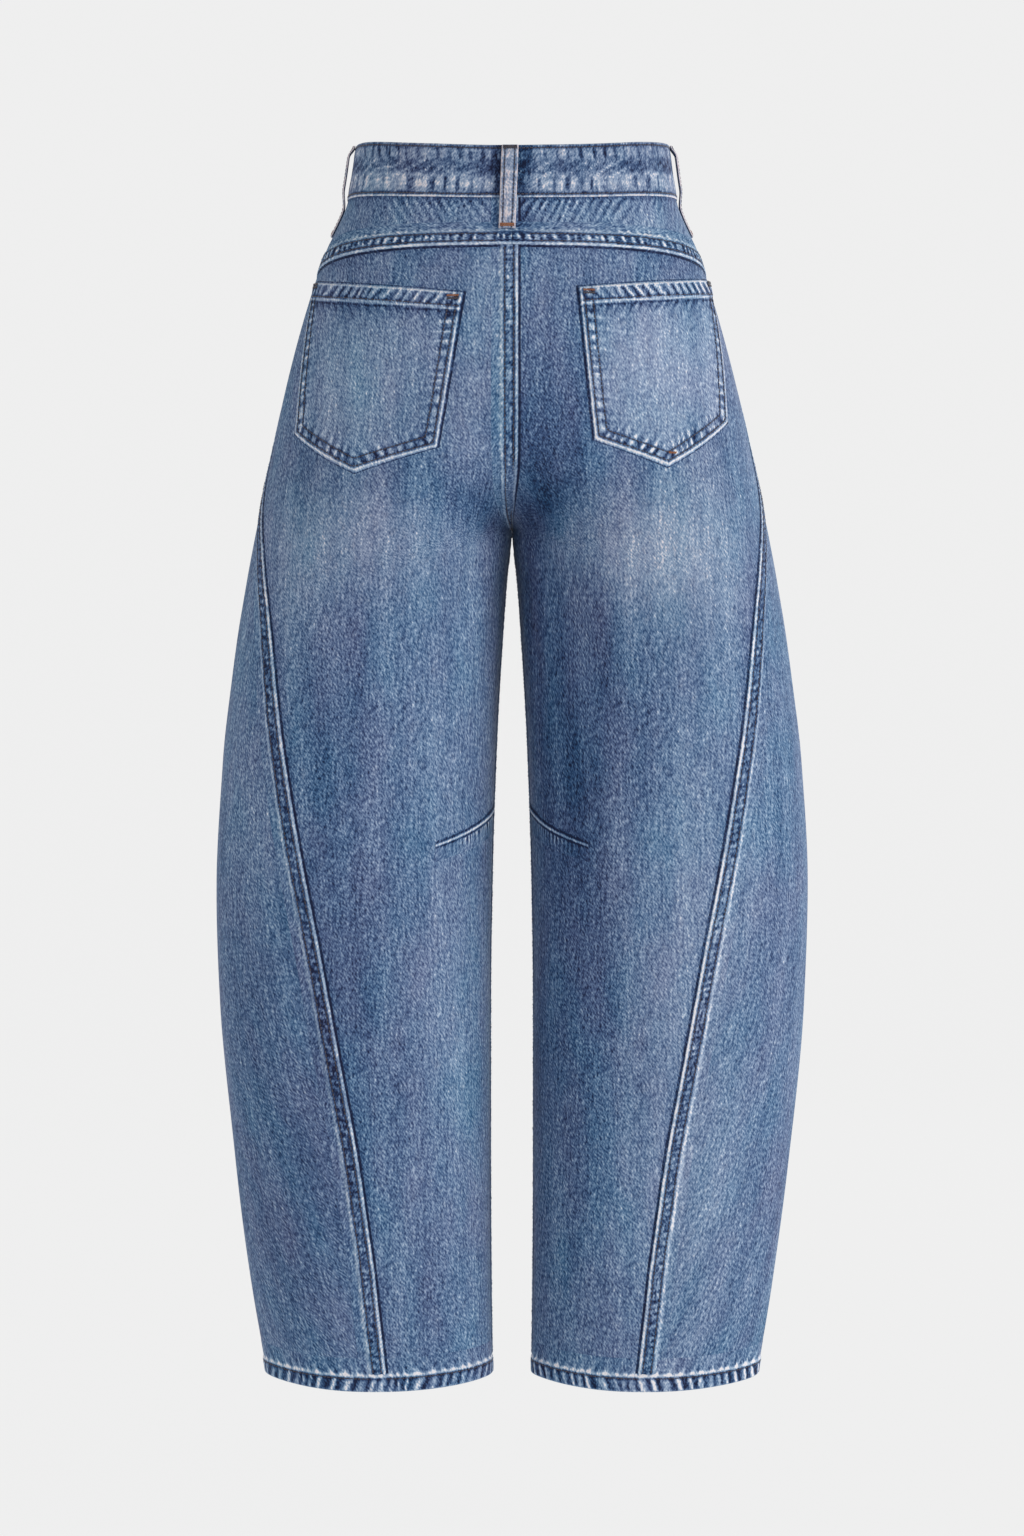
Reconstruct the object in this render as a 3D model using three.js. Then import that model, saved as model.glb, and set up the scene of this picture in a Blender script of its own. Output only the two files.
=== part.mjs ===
// Barrel leg denim trousers, filled out and held at the waist, hollow inside.
// Millimetres. +Z is up, +Y is the front and +X is the wearer's right.
// The origin is the middle of the waist, level with the middle of the waistband at the sides.

import * as THREE from 'three';

// Cloth and seams
const CLOTH = 1.5; // wall of one layer of denim
const GAP = 0.3; // space between two pieces that are sewn together
const LAP_WIDTH = 13; // felled seams: the band in which the cloth lies double
const LAP_STEP = 1.2; // width of the slope at the edge of that band
const LAP_RISE = 1.1; // how far the band stands above the cloth beside it
const REST = 0.55; // space under a piece that lies on a curved panel

// Waistband
const BAND_TOP = -22; // drop of its upper edge at the side
const BAND_FOOT = 22; // drop of its lower edge at the side
const BAND_OUT = 1.0; // its outer face stands this far above the form
const BAND_IN = 2.2; // its inner face lies this far below the form
const BAND_PITCH = 12; // spacing of its sections round the waist
const UNDERLAP = 38; // length of the end that runs under the button
const OVERLAP_RAMP = 34; // length over which the upper end climbs over the lower one

// Hem
const HEM_DROP = 956;
const HEM_WIDTH = 13;
const HEM_OUT = 0.8; // the turned cloth stands out and in by these amounts
const HEM_IN = 0.9;

// Belt loops
const LOOP_WIDTH = 12.6;
const LOOP_CLOTH = 1.6;
const LOOP_TOP = -21; // drop of its upper end
const LOOP_CLIMB = 8; // drop in which it bows out from the waistband
const LOOP_BOW = 3.7; // clear height under it then
const LOOP_FALL_START = 12; // drops between which it returns to the cloth
const LOOP_FALL = 20;
const LOOP_ROWS = [-21, -18, -15, -12, -4, 4, 12, 17, 22, 27, 32, 41];
const LOOP_FOOT = 50; // drop of its lower end, at the side and front
const LOOP_BACK_FOOT = 49;
const LOOP_REST = 0.9; // space under its lower end
const LOOP_FRONT = 92; // distance of the front loops from the centre front

// Fly and button
const FLY_WIDTH = 38;
const FLY_STRAIGHT = 128; // drop down to which the fly keeps its full width
const FLY_FOOT = 172; // drop of its rounded lower end
const FLY_ROWS = [24, 55, 85, 108, FLY_STRAIGHT, 142, 154, 163, 169, FLY_FOOT];
const FLY_TIP_WIDTH = 6.5;
const FLY_COLUMN_COUNT = 5;
const BUTTON_RADIUS = 8.5;
const BUTTON_INSET = 16; // from the end of the waistband to the button's centre

// The form: one section of the right half for each drop below the mid waistband at the side.
// outer and inner are the distances from the middle of the body to the side and to the inseam,
// back and front the depths from the line called middle, split goes from 0 on the body to 1 on
// the leg, and lift raises the inner edge towards the crotch.
const SECTION_COLUMNS = ['drop', 'outer', 'inner', 'back', 'front', 'middle', 'split', 'lift'];
const SECTIONS = [
  [-22, 124.0, 0.15, 88, 86, 0, 0.0, 0],
  [22, 131.0, 0.15, 92, 89, 0, 0.0, 0],
  [65, 149.0, 0.15, 101, 94, 0, 0.0, 0],
  [129, 169.0, 0.15, 113, 100, 0, 0.0, 0],
  [193, 185.0, 0.15, 119, 103, 0, 0.0, 0],
  [225, 191.5, 0.15, 127, 112, 0, 0.1, 2],
  [257, 198.5, 0.15, 130, 118, 0, 0.3, 8],
  [289, 205.0, 0.15, 124, 115, 0, 0.58, 18],
  [315, 210.0, 0.15, 115.5, 108, 1, 0.82, 32],
  [341, 214.5, 0.25, 109, 103, 2, 1.0, 51],
  [365, 218.5, 4.1, 105, 99, 3, 1.0, 47],
  [405, 224.0, 7.8, 101, 97, 4, 1.0, 38],
  [469, 231.6, 12.5, 96, 93, 4, 1.0, 22],
  [565, 236.6, 16.3, 90, 87, 2, 1.0, 5],
  [661, 233.4, 17.6, 84, 81, -2, 1.0, 0],
  [789, 220.4, 17.6, 75, 72, -7, 1.0, 0],
  [885, 207.2, 17.0, 67, 65, -10, 1.0, 0],
  [956, 195.0, 16.0, 61, 59, -12, 1.0, 0],
];
const ROUNDING = 2.2; // exponent of the sections: 2 is an ellipse, more is squarer
const BACK_DIP = 11; // how far the waist hangs lower at the centre back
const FRONT_DIP = 13;
const DIP_FADE = 150; // the dip has gone this far below the waist
const HEM_SAG = 8; // how far the hem hangs lower at mid back and mid front
const HEM_SAG_START = 700;

// The side seam swings round to the back of the leg: its distance behind the side line.
const SIDE_SEAM_COLUMNS = ['drop', 'behind'];
const SIDE_SEAM = [
  [-22, -12],
  [130, -9],
  [195, -3],
  [230, 9],
  [266, 34],
  [304, 61],
  [344, 79],
  [423, 98],
  [501, 114],
  [561, 125],
  [625, 133.5],
  [700, 139.5],
  [780, 142],
  [850, 140],
  [900, 136],
  [956, 130],
];

// Yoke seam: its drop at the centre back, and how much further it falls towards the side.
const YOKE_DROP = 64;
const YOKE_FALL = 19;
const YOKE_CURVE = 2.6;
const YOKE_LENGTH = 212;
const YOKE_FADE = 90; // the rows of the back panels are level again this far below the seam

// Soft folds: place (u round the section, drop), half length and half width, slant and depth.
const FOLD_COLUMNS = ['side', 'u', 'drop', 'along', 'across', 'slant', 'depth'];
const FOLDS = [
  [-1, 0.11, 352, 72, 20, 62, 3.2],
  [1, 0.12, 366, 88, 22, 58, 3.8],
  [-1, 0.2, 520, 120, 26, 84, 1.8],
  [1, 0.17, 640, 150, 28, 79, 2.4],
  [-1, 0.12, 505, 46, 15, -12, 2.2],
  [1, 0.12, 503, 50, 15, -12, 2.4],
  [-1, 0.88, 300, 66, 15, -38, 2.6],
  [1, 0.89, 292, 58, 14, -42, 2.4],
  [-1, 0.72, 560, 60, 60, 0, -2.6],
  [1, 0.73, 552, 64, 58, 0, -2.8],
  [-1, 0.84, 640, 130, 24, 96, 2.2],
  [1, 0.66, 700, 140, 26, 84, 2.0],
];
const FOLD_ROUND = 660; // length round the leg that u is measured against
const FOLD_MARGIN = 0.05; // folds die out within this much of the centre seams and inseams

// Back pockets: corners as distance from the centre back seam and drop.
const POCKET_COLUMNS = ['corner', 'across', 'drop'];
const LEFT_POCKET = [
  ['topInner', 38, 106],
  ['topOuter', 188, 90],
  ['footOuter', 186, 213],
  ['tip', 125, 247],
  ['footInner', 58, 228],
];
const RIGHT_POCKET = [
  ['topInner', 52, 101],
  ['topOuter', 191, 88],
  ['footOuter', 185, 204],
  ['tip', 123, 242],
  ['footInner', 64, 222],
];
const POCKET_CLOTH = 1.4;
const POCKET_HEM = 14; // depth of the turned upper edge
const POCKET_HEM_RISE = 0.8;
const POCKET_COLUMN_COUNT = 11; // an odd number, so that one column ends at the tip
const POCKET_ROWS = [0.24, 0.38, 0.52, 0.68, 0.84, 1]; // shares of its depth below the hem

// Knee darts: distance from the inseam and drop of the two ends, and the lip that they raise.
const DART_ROOT = { across: 8, drop: 518 };
const DART_TIP = { across: 93, drop: 540 };
const DART_BOW = 2.5; // how far its middle lies below the straight line
const DART_WIDTH = 3.4;
const DART_TIP_WIDTH = 1.6;
const DART_RISE = 1.0;
const DART_COLUMN_COUNT = 11;

// Drops of the rows of vertices below the yoke seam, and the rows across the yoke
const PANEL_ROWS = [64, 84, 106, 130, 154, 178, 202, 226, 250, 272, 292, 310, 326, 341, 352, 368,
  392, 422, 460, 505, 555, 610, 670, 735, 800, 860, 910, 941.8, 943, 956];
const YOKE_ROWS = [0, 0.42, 0.7, 0.73, 1];
// Each panel is one cut piece of cloth. Its solid is parted level at these rows, so that each
// stretch of the leg takes close-fitting collision pieces.
const STRETCH_COLUMNS = ['label', 'from', 'to'];
const STRETCHES = [
  ['seat', 0, 341],
  ['thigh', 341, 555],
  ['knee', 555, 735],
  ['shin', 735, 956],
];
const BACK_COLUMNS = 14; // spaces between the seam bands of a back panel
const FRONT_COLUMNS = 21;
const ARC_STEPS = 120; // samples of a section when its length is measured

const LEFT = -1;
const RIGHT = 1;

// Turns a table into rows that are read by column name.
function named(columns, rows) {
  return rows.map((row) => Object.fromEntries(columns.map((column, index) => [column, row[index]])));
}

const sections = named(SECTION_COLUMNS, SECTIONS);
const sideSeam = named(SIDE_SEAM_COLUMNS, SIDE_SEAM);
const folds = named(FOLD_COLUMNS, FOLDS);
const stretches = named(STRETCH_COLUMNS, STRETCHES);

// Smooth interpolation of one column without overshoot: the slope at a row is the harmonic
// mean of the slopes on both sides of it.
function smoothColumn(rows, column) {
  const x = rows.map((row) => row.drop);
  const y = rows.map((row) => row[column]);
  const last = x.length - 1;
  const slope = x.slice(1).map((value, i) => (y[i + 1] - y[i]) / (value - x[i]));
  const tangent = x.map((_, i) => {
    if (i === 0) return slope[0];
    if (i === last) return slope[last - 1];
    const product = slope[i - 1] * slope[i];
    return product > 0 ? (2 * product) / (slope[i - 1] + slope[i]) : 0;
  });
  return (drop) => {
    let i = 0;
    while (i < last - 1 && drop > x[i + 1]) i += 1;
    const span = x[i + 1] - x[i];
    const t = (drop - x[i]) / span;
    const rise = t * t * (3 - 2 * t);
    const bend = t * (1 - t) * ((1 - t) * tangent[i] - t * tangent[i + 1]) * span;
    return y[i] + (y[i + 1] - y[i]) * rise + bend;
  };
}

const sectionAt = Object.fromEntries(
  SECTION_COLUMNS.slice(1).map((column) => [column, smoothColumn(sections, column)]),
);
const behindSide = smoothColumn(sideSeam, 'behind');

function smoothstep(value) {
  const t = Math.min(Math.max(value, 0), 1);
  return t * t * (3 - 2 * t);
}

function mix(from, to, share) {
  return from + (to - from) * share;
}

// Cosine or sine bent towards the section's rounding.
function rounded(value) {
  return Math.sign(value) * Math.abs(value) ** (2 / ROUNDING);
}

// A point of the smooth right half. u runs from 0 at the centre back or inseam, round the side
// at 0.5, to 1 at the centre front or inseam.
function smoothForm(u, drop) {
  const angle = Math.PI * u;
  const outer = sectionAt.outer(drop);
  const inner = sectionAt.inner(drop);
  const middle = sectionAt.middle(drop);
  const split = sectionAt.split(drop);
  const depth = u < 0.5 ? sectionAt.back(drop) : sectionAt.front(drop);
  const bodyX = inner + (outer - inner) * rounded(Math.sin(angle));
  const bodyY = middle - depth * rounded(Math.cos(angle));
  const legX = mix(outer, inner, 0.5 + 0.5 * rounded(Math.cos(2 * angle)));
  const legY = middle - depth * rounded(Math.sin(2 * angle));
  const centre = Math.cos(angle) ** 2;
  const dip = (u < 0.5 ? BACK_DIP : FRONT_DIP) * (1 - smoothstep((drop - BAND_TOP) / DIP_FADE));
  const hang = HEM_SAG * smoothstep((drop - HEM_SAG_START) / (HEM_DROP - HEM_SAG_START));
  const sag = hang * Math.sin(2 * angle) ** 2;
  const z = -drop + sectionAt.lift(drop) * centre ** 2 - dip * centre - sag;
  return new THREE.Vector3(mix(bodyX, legX, split), mix(bodyY, legY, split), z);
}

// The outward direction of the smooth right half.
function formNormal(u, drop) {
  const du = 0.004;
  const dv = 1.0;
  const round = smoothForm(Math.min(u + du, 1), drop).sub(smoothForm(Math.max(u - du, 0), drop));
  const down = smoothForm(u, Math.min(drop + dv, HEM_DROP));
  down.sub(smoothForm(u, Math.max(drop - dv, BAND_TOP)));
  return down.cross(round).normalize();
}

// How far the soft folds move the cloth outwards.
function foldShift(side, u, drop) {
  const margin = smoothstep(Math.min(u, 1 - u) / FOLD_MARGIN);
  let shift = 0;
  for (const fold of folds.filter((one) => one.side === side)) {
    const slant = THREE.MathUtils.degToRad(fold.slant);
    const round = (u - fold.u) * FOLD_ROUND;
    const down = drop - fold.drop;
    const along = (round * Math.cos(slant) + down * Math.sin(slant)) / fold.along;
    const across = (down * Math.cos(slant) - round * Math.sin(slant)) / fold.across;
    shift -= fold.depth * Math.exp(-along * along - across * across);
  }
  return shift * margin;
}

// A point of either half, moved out from the cloth's outer face by a distance.
function clothPoint(side, u, drop, out) {
  const normal = formNormal(u, drop);
  const point = smoothForm(u, drop).addScaledVector(normal, foldShift(side, u, drop) + out);
  point.x *= side;
  return point;
}

// Lengths along a level section, from its back or inner edge, kept for each drop.
const arcs = new Map();
function arcAt(drop) {
  if (!arcs.has(drop)) {
    const lengths = [0];
    let before = smoothForm(0, drop);
    for (let i = 1; i <= ARC_STEPS; i += 1) {
      const point = smoothForm(i / ARC_STEPS, drop);
      lengths.push(lengths[i - 1] + point.distanceTo(before));
      before = point;
    }
    arcs.set(drop, lengths);
  }
  return arcs.get(drop);
}

// The place u at a given length along the section.
function placeAt(length, drop) {
  const lengths = arcAt(drop);
  let i = 0;
  while (i < ARC_STEPS - 1 && length > lengths[i + 1]) i += 1;
  return (i + (length - lengths[i]) / (lengths[i + 1] - lengths[i])) / ARC_STEPS;
}

function fullLength(drop) {
  return arcAt(drop)[ARC_STEPS];
}

function sideLength(drop) {
  return arcAt(drop)[ARC_STEPS / 2];
}

function seamLength(drop) {
  return sideLength(drop) - behindSide(drop);
}

function yokeDrop(length) {
  return YOKE_DROP + YOKE_FALL * (length / YOKE_LENGTH) ** YOKE_CURVE;
}

// A closed wall between an outer and an inner sheet of points, each a function of the
// column and the row.
function wall(columns, rows, outerAt, innerAt) {
  const points = [];
  for (const sheet of [outerAt, innerAt]) {
    for (let i = 0; i < columns; i += 1) {
      for (let j = 0; j < rows; j += 1) points.push(sheet(i, j));
    }
  }
  const under = columns * rows;
  const at = (i, j) => i * rows + j;
  const faces = [];
  const quad = (a, b, c, d) => faces.push([a, b, c], [a, c, d]);
  for (let i = 0; i + 1 < columns; i += 1) {
    for (let j = 0; j + 1 < rows; j += 1) {
      const corners = [at(i, j), at(i + 1, j), at(i + 1, j + 1), at(i, j + 1)];
      const [a, b, c, d] = corners;
      const firstShorter = points[a].distanceTo(points[c]) < points[b].distanceTo(points[d]);
      const [p, q, r, s] = firstShorter ? corners : [b, c, d, a];
      quad(p, q, r, s);
      faces.push([r + under, q + under, p + under], [s + under, r + under, p + under]);
    }
  }
  for (let i = 0; i + 1 < columns; i += 1) {
    quad(at(i + 1, 0), at(i, 0), at(i, 0) + under, at(i + 1, 0) + under);
    const foot = rows - 1;
    quad(at(i, foot), at(i + 1, foot), at(i + 1, foot) + under, at(i, foot) + under);
  }
  for (let j = 0; j + 1 < rows; j += 1) {
    quad(at(0, j), at(0, j + 1), at(0, j + 1) + under, at(0, j) + under);
    const end = columns - 1;
    quad(at(end, j + 1), at(end, j), at(end, j) + under, at(end, j + 1) + under);
  }
  return closedGeometry(points, faces);
}

// A geometry with its faces pointing out.
function closedGeometry(points, faces) {
  let volume = 0;
  for (const [a, b, c] of faces) {
    volume += points[a].dot(new THREE.Vector3().crossVectors(points[b], points[c]));
  }
  const outward = volume > 0 ? faces : faces.map(([a, b, c]) => [a, c, b]);
  const geometry = new THREE.BufferGeometry();
  const positions = points.flatMap((point) => [point.x, point.y, point.z]);
  geometry.setAttribute('position', new THREE.Float32BufferAttribute(positions, 3));
  geometry.setIndex(outward.flat());
  geometry.computeVertexNormals();
  return geometry;
}

// Positions from one end to another: the seam band's three lines, then even spaces.
function bandedColumns(start, end, spaces) {
  const direction = Math.sign(end - start);
  const bandEnd = start + direction * LAP_WIDTH;
  const first = bandEnd + direction * LAP_STEP;
  const rest = Array.from({ length: spaces + 1 }, (_, k) => mix(first, end, k / spaces));
  return [start, bandEnd, ...rest];
}

// Lengths of a back panel's or yoke's columns at one drop, from the centre back or inseam.
function backColumns(drop) {
  const start = (GAP / 2) * sectionAt.split(drop);
  return bandedColumns(start, seamLength(drop) - GAP / 2, BACK_COLUMNS);
}

// Lengths of a front panel's columns, from the side seam to the centre front or inseam.
function frontColumns(drop) {
  const end = fullLength(drop) - (GAP / 2) * sectionAt.split(drop);
  return bandedColumns(seamLength(drop) + GAP / 2, end, FRONT_COLUMNS);
}

// The yoke seam's drop at each column of the back.
const yokeSeam = backColumns(YOKE_DROP).map(yokeDrop);
const yokeSeamAtSide = yokeSeam[yokeSeam.length - 1];

// Rows of a back panel: the first follows the yoke seam, and the lower ones turn level.
function backRow(column, row) {
  const drop = PANEL_ROWS[row];
  const fade = 1 - smoothstep((drop - YOKE_DROP) / YOKE_FADE);
  const seamGap = row === 0 ? GAP / 2 : 0;
  return drop + (yokeSeam[column] - YOKE_DROP) * fade + seamGap;
}

function yokeRow(column, row) {
  return mix(BAND_FOOT + GAP / 2, yokeSeam[column] - GAP / 2, YOKE_ROWS[row]);
}

// Extra height of a seam band: full on the first two columns, none on the others.
function bandRise(column) {
  return column < 2 ? LAP_RISE : 0;
}

function hemShare(drop) {
  return drop > HEM_DROP - HEM_WIDTH - LAP_STEP / 2 ? 1 : 0;
}

// The rows of a panel that lie in one stretch, parted from the next stretch by a gap.
function stretchRows(drops, { from, to }) {
  const rows = drops.map((_, row) => row).filter((row) => drops[row] >= from && drops[row] <= to);
  const shiftAt = (row) => {
    if (drops[row] === from) return GAP / 2;
    return drops[row] === to && to < HEM_DROP ? -GAP / 2 : 0;
  };
  return rows.map((row) => ({ row, shift: shiftAt(row) }));
}

// The left half laps over the right one at the centre back, down to the crotch.
function backPanel(side, stretch) {
  const columns = backColumns(YOKE_DROP).length;
  const rows = stretchRows(PANEL_ROWS, stretch);
  const sheet = (out, inside) => (column, index) => {
    const drop = backRow(column, rows[index].row) + rows[index].shift;
    const u = placeAt(backColumns(drop)[column], drop);
    const lap = side === LEFT ? bandRise(column) * (1 - sectionAt.split(drop)) : 0;
    const hem = hemShare(drop);
    return clothPoint(side, u, drop, inside ? out - HEM_IN * hem : out + lap + HEM_OUT * hem);
  };
  return wall(columns, rows.length, sheet(0, false), sheet(-CLOTH, true));
}

// The yoke laps over the back panel along its lower edge.
function yoke(side) {
  const columns = yokeSeam.length;
  const bandRow = YOKE_ROWS.length - 2;
  const sheet = (out, inside) => (column, row) => {
    const drop = yokeRow(column, row);
    const u = placeAt(backColumns(drop)[column], drop);
    const centreLap = side === LEFT ? bandRise(column) : 0;
    const footLap = row >= bandRow ? LAP_RISE : 0;
    return clothPoint(side, u, drop, inside ? out : out + Math.max(centreLap, footLap));
  };
  return wall(columns, YOKE_ROWS.length, sheet(0, false), sheet(-CLOTH, true));
}

// The front panel runs from the waist to the hem, and its edge laps over the back of the leg.
function frontPanel(side, stretch) {
  const last = yokeSeam.length - 1;
  const yokeDrops = YOKE_ROWS.map((_, row) => yokeRow(last, row));
  const panelDrops = PANEL_ROWS.map((_, row) => backRow(last, row));
  const drops = [...yokeDrops.slice(0, -1), yokeSeamAtSide, ...panelDrops.slice(1)];
  const columns = frontColumns(YOKE_DROP).length;
  const rows = stretchRows(drops, stretch);
  const sheet = (out, inside) => (column, index) => {
    const drop = drops[rows[index].row] + rows[index].shift;
    const u = placeAt(frontColumns(drop)[column], drop);
    const hem = hemShare(drop);
    const lap = Math.max(bandRise(column), HEM_OUT * hem);
    return clothPoint(side, u, drop, inside ? out - HEM_IN * hem : out + lap);
  };
  return wall(columns, rows.length, sheet(0, false), sheet(-CLOTH, true));
}

// The waistband is one strip. It starts under the button on the left, runs over the centre
// front round the right side, back and left side, and ends above its own start.
function waistband() {
  const half = fullLength(0);
  const count = Math.round(half / BAND_PITCH);
  const pitch = half / count;
  const along = Array.from({ length: count }, (_, k) => (k + 0.5) * pitch);
  const under = [UNDERLAP, UNDERLAP * 0.66, UNDERLAP * 0.33];
  const stations = [
    ...under.map((inset) => ({ side: LEFT, share: 1 - inset / half, out: 0 })),
    ...along.toReversed().map((length) => ({ side: RIGHT, share: length / half, out: 0 })),
    ...along.map((length) => ({ side: LEFT, share: length / half, out: 0 })),
    { side: LEFT, share: 1, out: 0 },
  ];
  const climbEnd = half - UNDERLAP - 2;
  for (const station of stations.slice(under.length + count)) {
    const length = station.share * half;
    const climb = smoothstep((length - climbEnd + OVERLAP_RAMP) / OVERLAP_RAMP);
    station.out = (BAND_OUT + BAND_IN + GAP) * climb;
  }
  const rows = [BAND_TOP, 0, BAND_FOOT - GAP / 2];
  const sheet = (out) => (column, row) => {
    const { side, share, out: raised } = stations[column];
    const u = placeAt(share * fullLength(rows[row]), rows[row]);
    return clothPoint(side, u, rows[row], raised + out);
  };
  return wall(stations.length, rows.length, sheet(BAND_OUT), sheet(-BAND_IN));
}

// A belt loop is a strip from the waistband's upper edge to the cloth below it, bowed out so
// that a belt passes under. lengthAt gives its distance from the centre back at each drop, and
// base is the height of what its lower end lies on.
function beltLoop(side, lengthAt, foot, base) {
  const drops = [...LOOP_ROWS, foot];
  const across = [-0.5, 0, 0.5].map((share) => share * LOOP_WIDTH);
  const clearAt = (drop) => {
    const climb = smoothstep((drop - LOOP_TOP) / LOOP_CLIMB);
    const fall = smoothstep((drop - LOOP_FALL_START) / LOOP_FALL);
    const end = drop < LOOP_FALL_START ? BAND_OUT + GAP : base;
    return mix(end, BAND_OUT + LOOP_BOW, climb * (1 - fall));
  };
  const sheet = (out) => (column, row) => {
    const drop = drops[row];
    const length = lengthAt(drop) + across[column];
    const place = placeAt(Math.abs(length), drop);
    return clothPoint(length < 0 ? -side : side, place, drop, clearAt(drop) + out);
  };
  return wall(across.length, drops.length, sheet(LOOP_CLOTH), sheet(0));
}

// A back pocket is a five-cornered patch on the panel, with a turned upper edge.
function backPocket(side, table) {
  const corner = Object.fromEntries(named(POCKET_COLUMNS, table).map((row) => [row.corner, row]));
  const middle = (POCKET_COLUMN_COUNT - 1) / 2;
  const depth = corner.tip.drop - (corner.topInner.drop + corner.topOuter.drop) / 2;
  const hem = POCKET_HEM / depth;
  const step = LAP_STEP / depth;
  const rows = [0, hem, hem + step, ...POCKET_ROWS];
  const between = (from, to, share) => ({
    across: mix(from.across, to.across, share),
    drop: mix(from.drop, to.drop, share),
  });
  const sheet = (out, rise) => (column, row) => {
    const top = between(corner.topInner, corner.topOuter, column / (2 * middle));
    const inHalf = column / middle;
    const foot = inHalf < 1
      ? between(corner.footInner, corner.tip, inHalf)
      : between(corner.tip, corner.footOuter, inHalf - 1);
    const place = between(top, foot, rows[row]);
    const u = placeAt(place.across, place.drop);
    return clothPoint(side, u, place.drop, REST + out + (row < 2 ? rise : 0));
  };
  const front = sheet(POCKET_CLOTH, POCKET_HEM_RISE);
  return wall(POCKET_COLUMN_COUNT, rows.length, front, sheet(0, 0));
}

// The fly lies on the left front along the centre, with a rounded lower end.
function fly() {
  const widthAt = (drop) => {
    const share = Math.max(0, (drop - FLY_STRAIGHT) / (FLY_FOOT - FLY_STRAIGHT));
    return Math.max(FLY_TIP_WIDTH, FLY_WIDTH * Math.sqrt(1 - share * share));
  };
  const sheet = (out) => (column, row) => {
    const drop = FLY_ROWS[row];
    const inset = mix(GAP, widthAt(drop), column / (FLY_COLUMN_COUNT - 1));
    return clothPoint(LEFT, placeAt(fullLength(drop) - inset, drop), drop, REST + out);
  };
  return wall(FLY_COLUMN_COUNT, FLY_ROWS.length, sheet(CLOTH), sheet(0));
}

// The lip of a knee dart, from the inseam to a thin tip.
function kneeDart(side) {
  const sheet = (out) => (column, row) => {
    const share = column / (DART_COLUMN_COUNT - 1);
    const width = mix(DART_WIDTH, DART_TIP_WIDTH, share);
    const bow = DART_BOW * Math.sin(Math.PI * share);
    const drop = mix(DART_ROOT.drop, DART_TIP.drop, share) + bow + (row - 0.5) * width;
    const across = mix(DART_ROOT.across, DART_TIP.across, share);
    return clothPoint(side, placeAt(across, drop), drop, REST + out);
  };
  return wall(DART_COLUMN_COUNT, 2, sheet(DART_RISE), sheet(0));
}

// The button: a disc with a raised rim and a low dome, turned about its own axis.
function buttonGeometry() {
  const profile = [
    [0, 0],
    [BUTTON_RADIUS - 1, 0],
    [BUTTON_RADIUS, 0.8],
    [BUTTON_RADIUS, 1.8],
    [BUTTON_RADIUS - 1, 2.4],
    [BUTTON_RADIUS - 2, 1.7],
    [3.5, 1.9],
    [0, 2.6],
  ].map(([radius, height]) => new THREE.Vector2(radius, height));
  return new THREE.LatheGeometry(profile, 20);
}

function cloth(colour) {
  return new THREE.MeshStandardMaterial({ color: colour, roughness: 0.92, metalness: 0 });
}

const trousers = new THREE.Group();

function addPiece(name, geometry, material) {
  const mesh = new THREE.Mesh(geometry, material);
  mesh.name = name;
  trousers.add(mesh);
  return mesh;
}

const SIDES = [
  { side: LEFT, label: 'left', pocket: LEFT_POCKET },
  { side: RIGHT, label: 'right', pocket: RIGHT_POCKET },
];

addPiece('waistband', waistband(), cloth('#67728b'));
for (const { side, label, pocket } of SIDES) {
  addPiece(`yoke_${label}`, yoke(side), cloth('#657691'));
  for (const stretch of stretches) {
    addPiece(`back_panel_${label}_${stretch.label}`, backPanel(side, stretch), cloth('#5a6f90'));
    addPiece(`front_panel_${label}_${stretch.label}`, frontPanel(side, stretch), cloth('#546988'));
  }
  addPiece(`back_pocket_${label}`, backPocket(side, pocket), cloth('#7e90aa'));
  addPiece(`knee_dart_${label}`, kneeDart(side), cloth('#8b99ae'));
  addPiece(`belt_loop_side_${label}`, beltLoop(side, sideLength, LOOP_FOOT, LOOP_REST), cloth('#9b9fad'));
  const frontLoop = (drop) => fullLength(drop) - LOOP_FRONT;
  addPiece(`belt_loop_front_${label}`, beltLoop(side, frontLoop, LOOP_FOOT, LOOP_REST), cloth('#9b9fad'));
}
const backLoop = beltLoop(RIGHT, () => 0, LOOP_BACK_FOOT, LAP_RISE + REST);
addPiece('belt_loop_back', backLoop, cloth('#9b9fad'));
addPiece('fly', fly(), cloth('#5a6f90'));

const brass = new THREE.MeshStandardMaterial({ color: '#8f6b45', roughness: 0.4, metalness: 0.9 });
const button = addPiece('waist_button', buttonGeometry(), brass);
const buttonPlace = placeAt(fullLength(0) - BUTTON_INSET, 0);
const buttonHeight = 2 * BAND_OUT + BAND_IN + 2 * GAP;
button.position.copy(clothPoint(LEFT, buttonPlace, 0, buttonHeight));
const buttonAxis = formNormal(buttonPlace, 0);
buttonAxis.x *= LEFT;
button.quaternion.setFromUnitVectors(new THREE.Vector3(0, 1, 0), buttonAxis);

export default trousers;
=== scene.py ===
"""Barrel leg denim trousers, filled out and seen from the back, with their sewing and wear."""

import math

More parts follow.
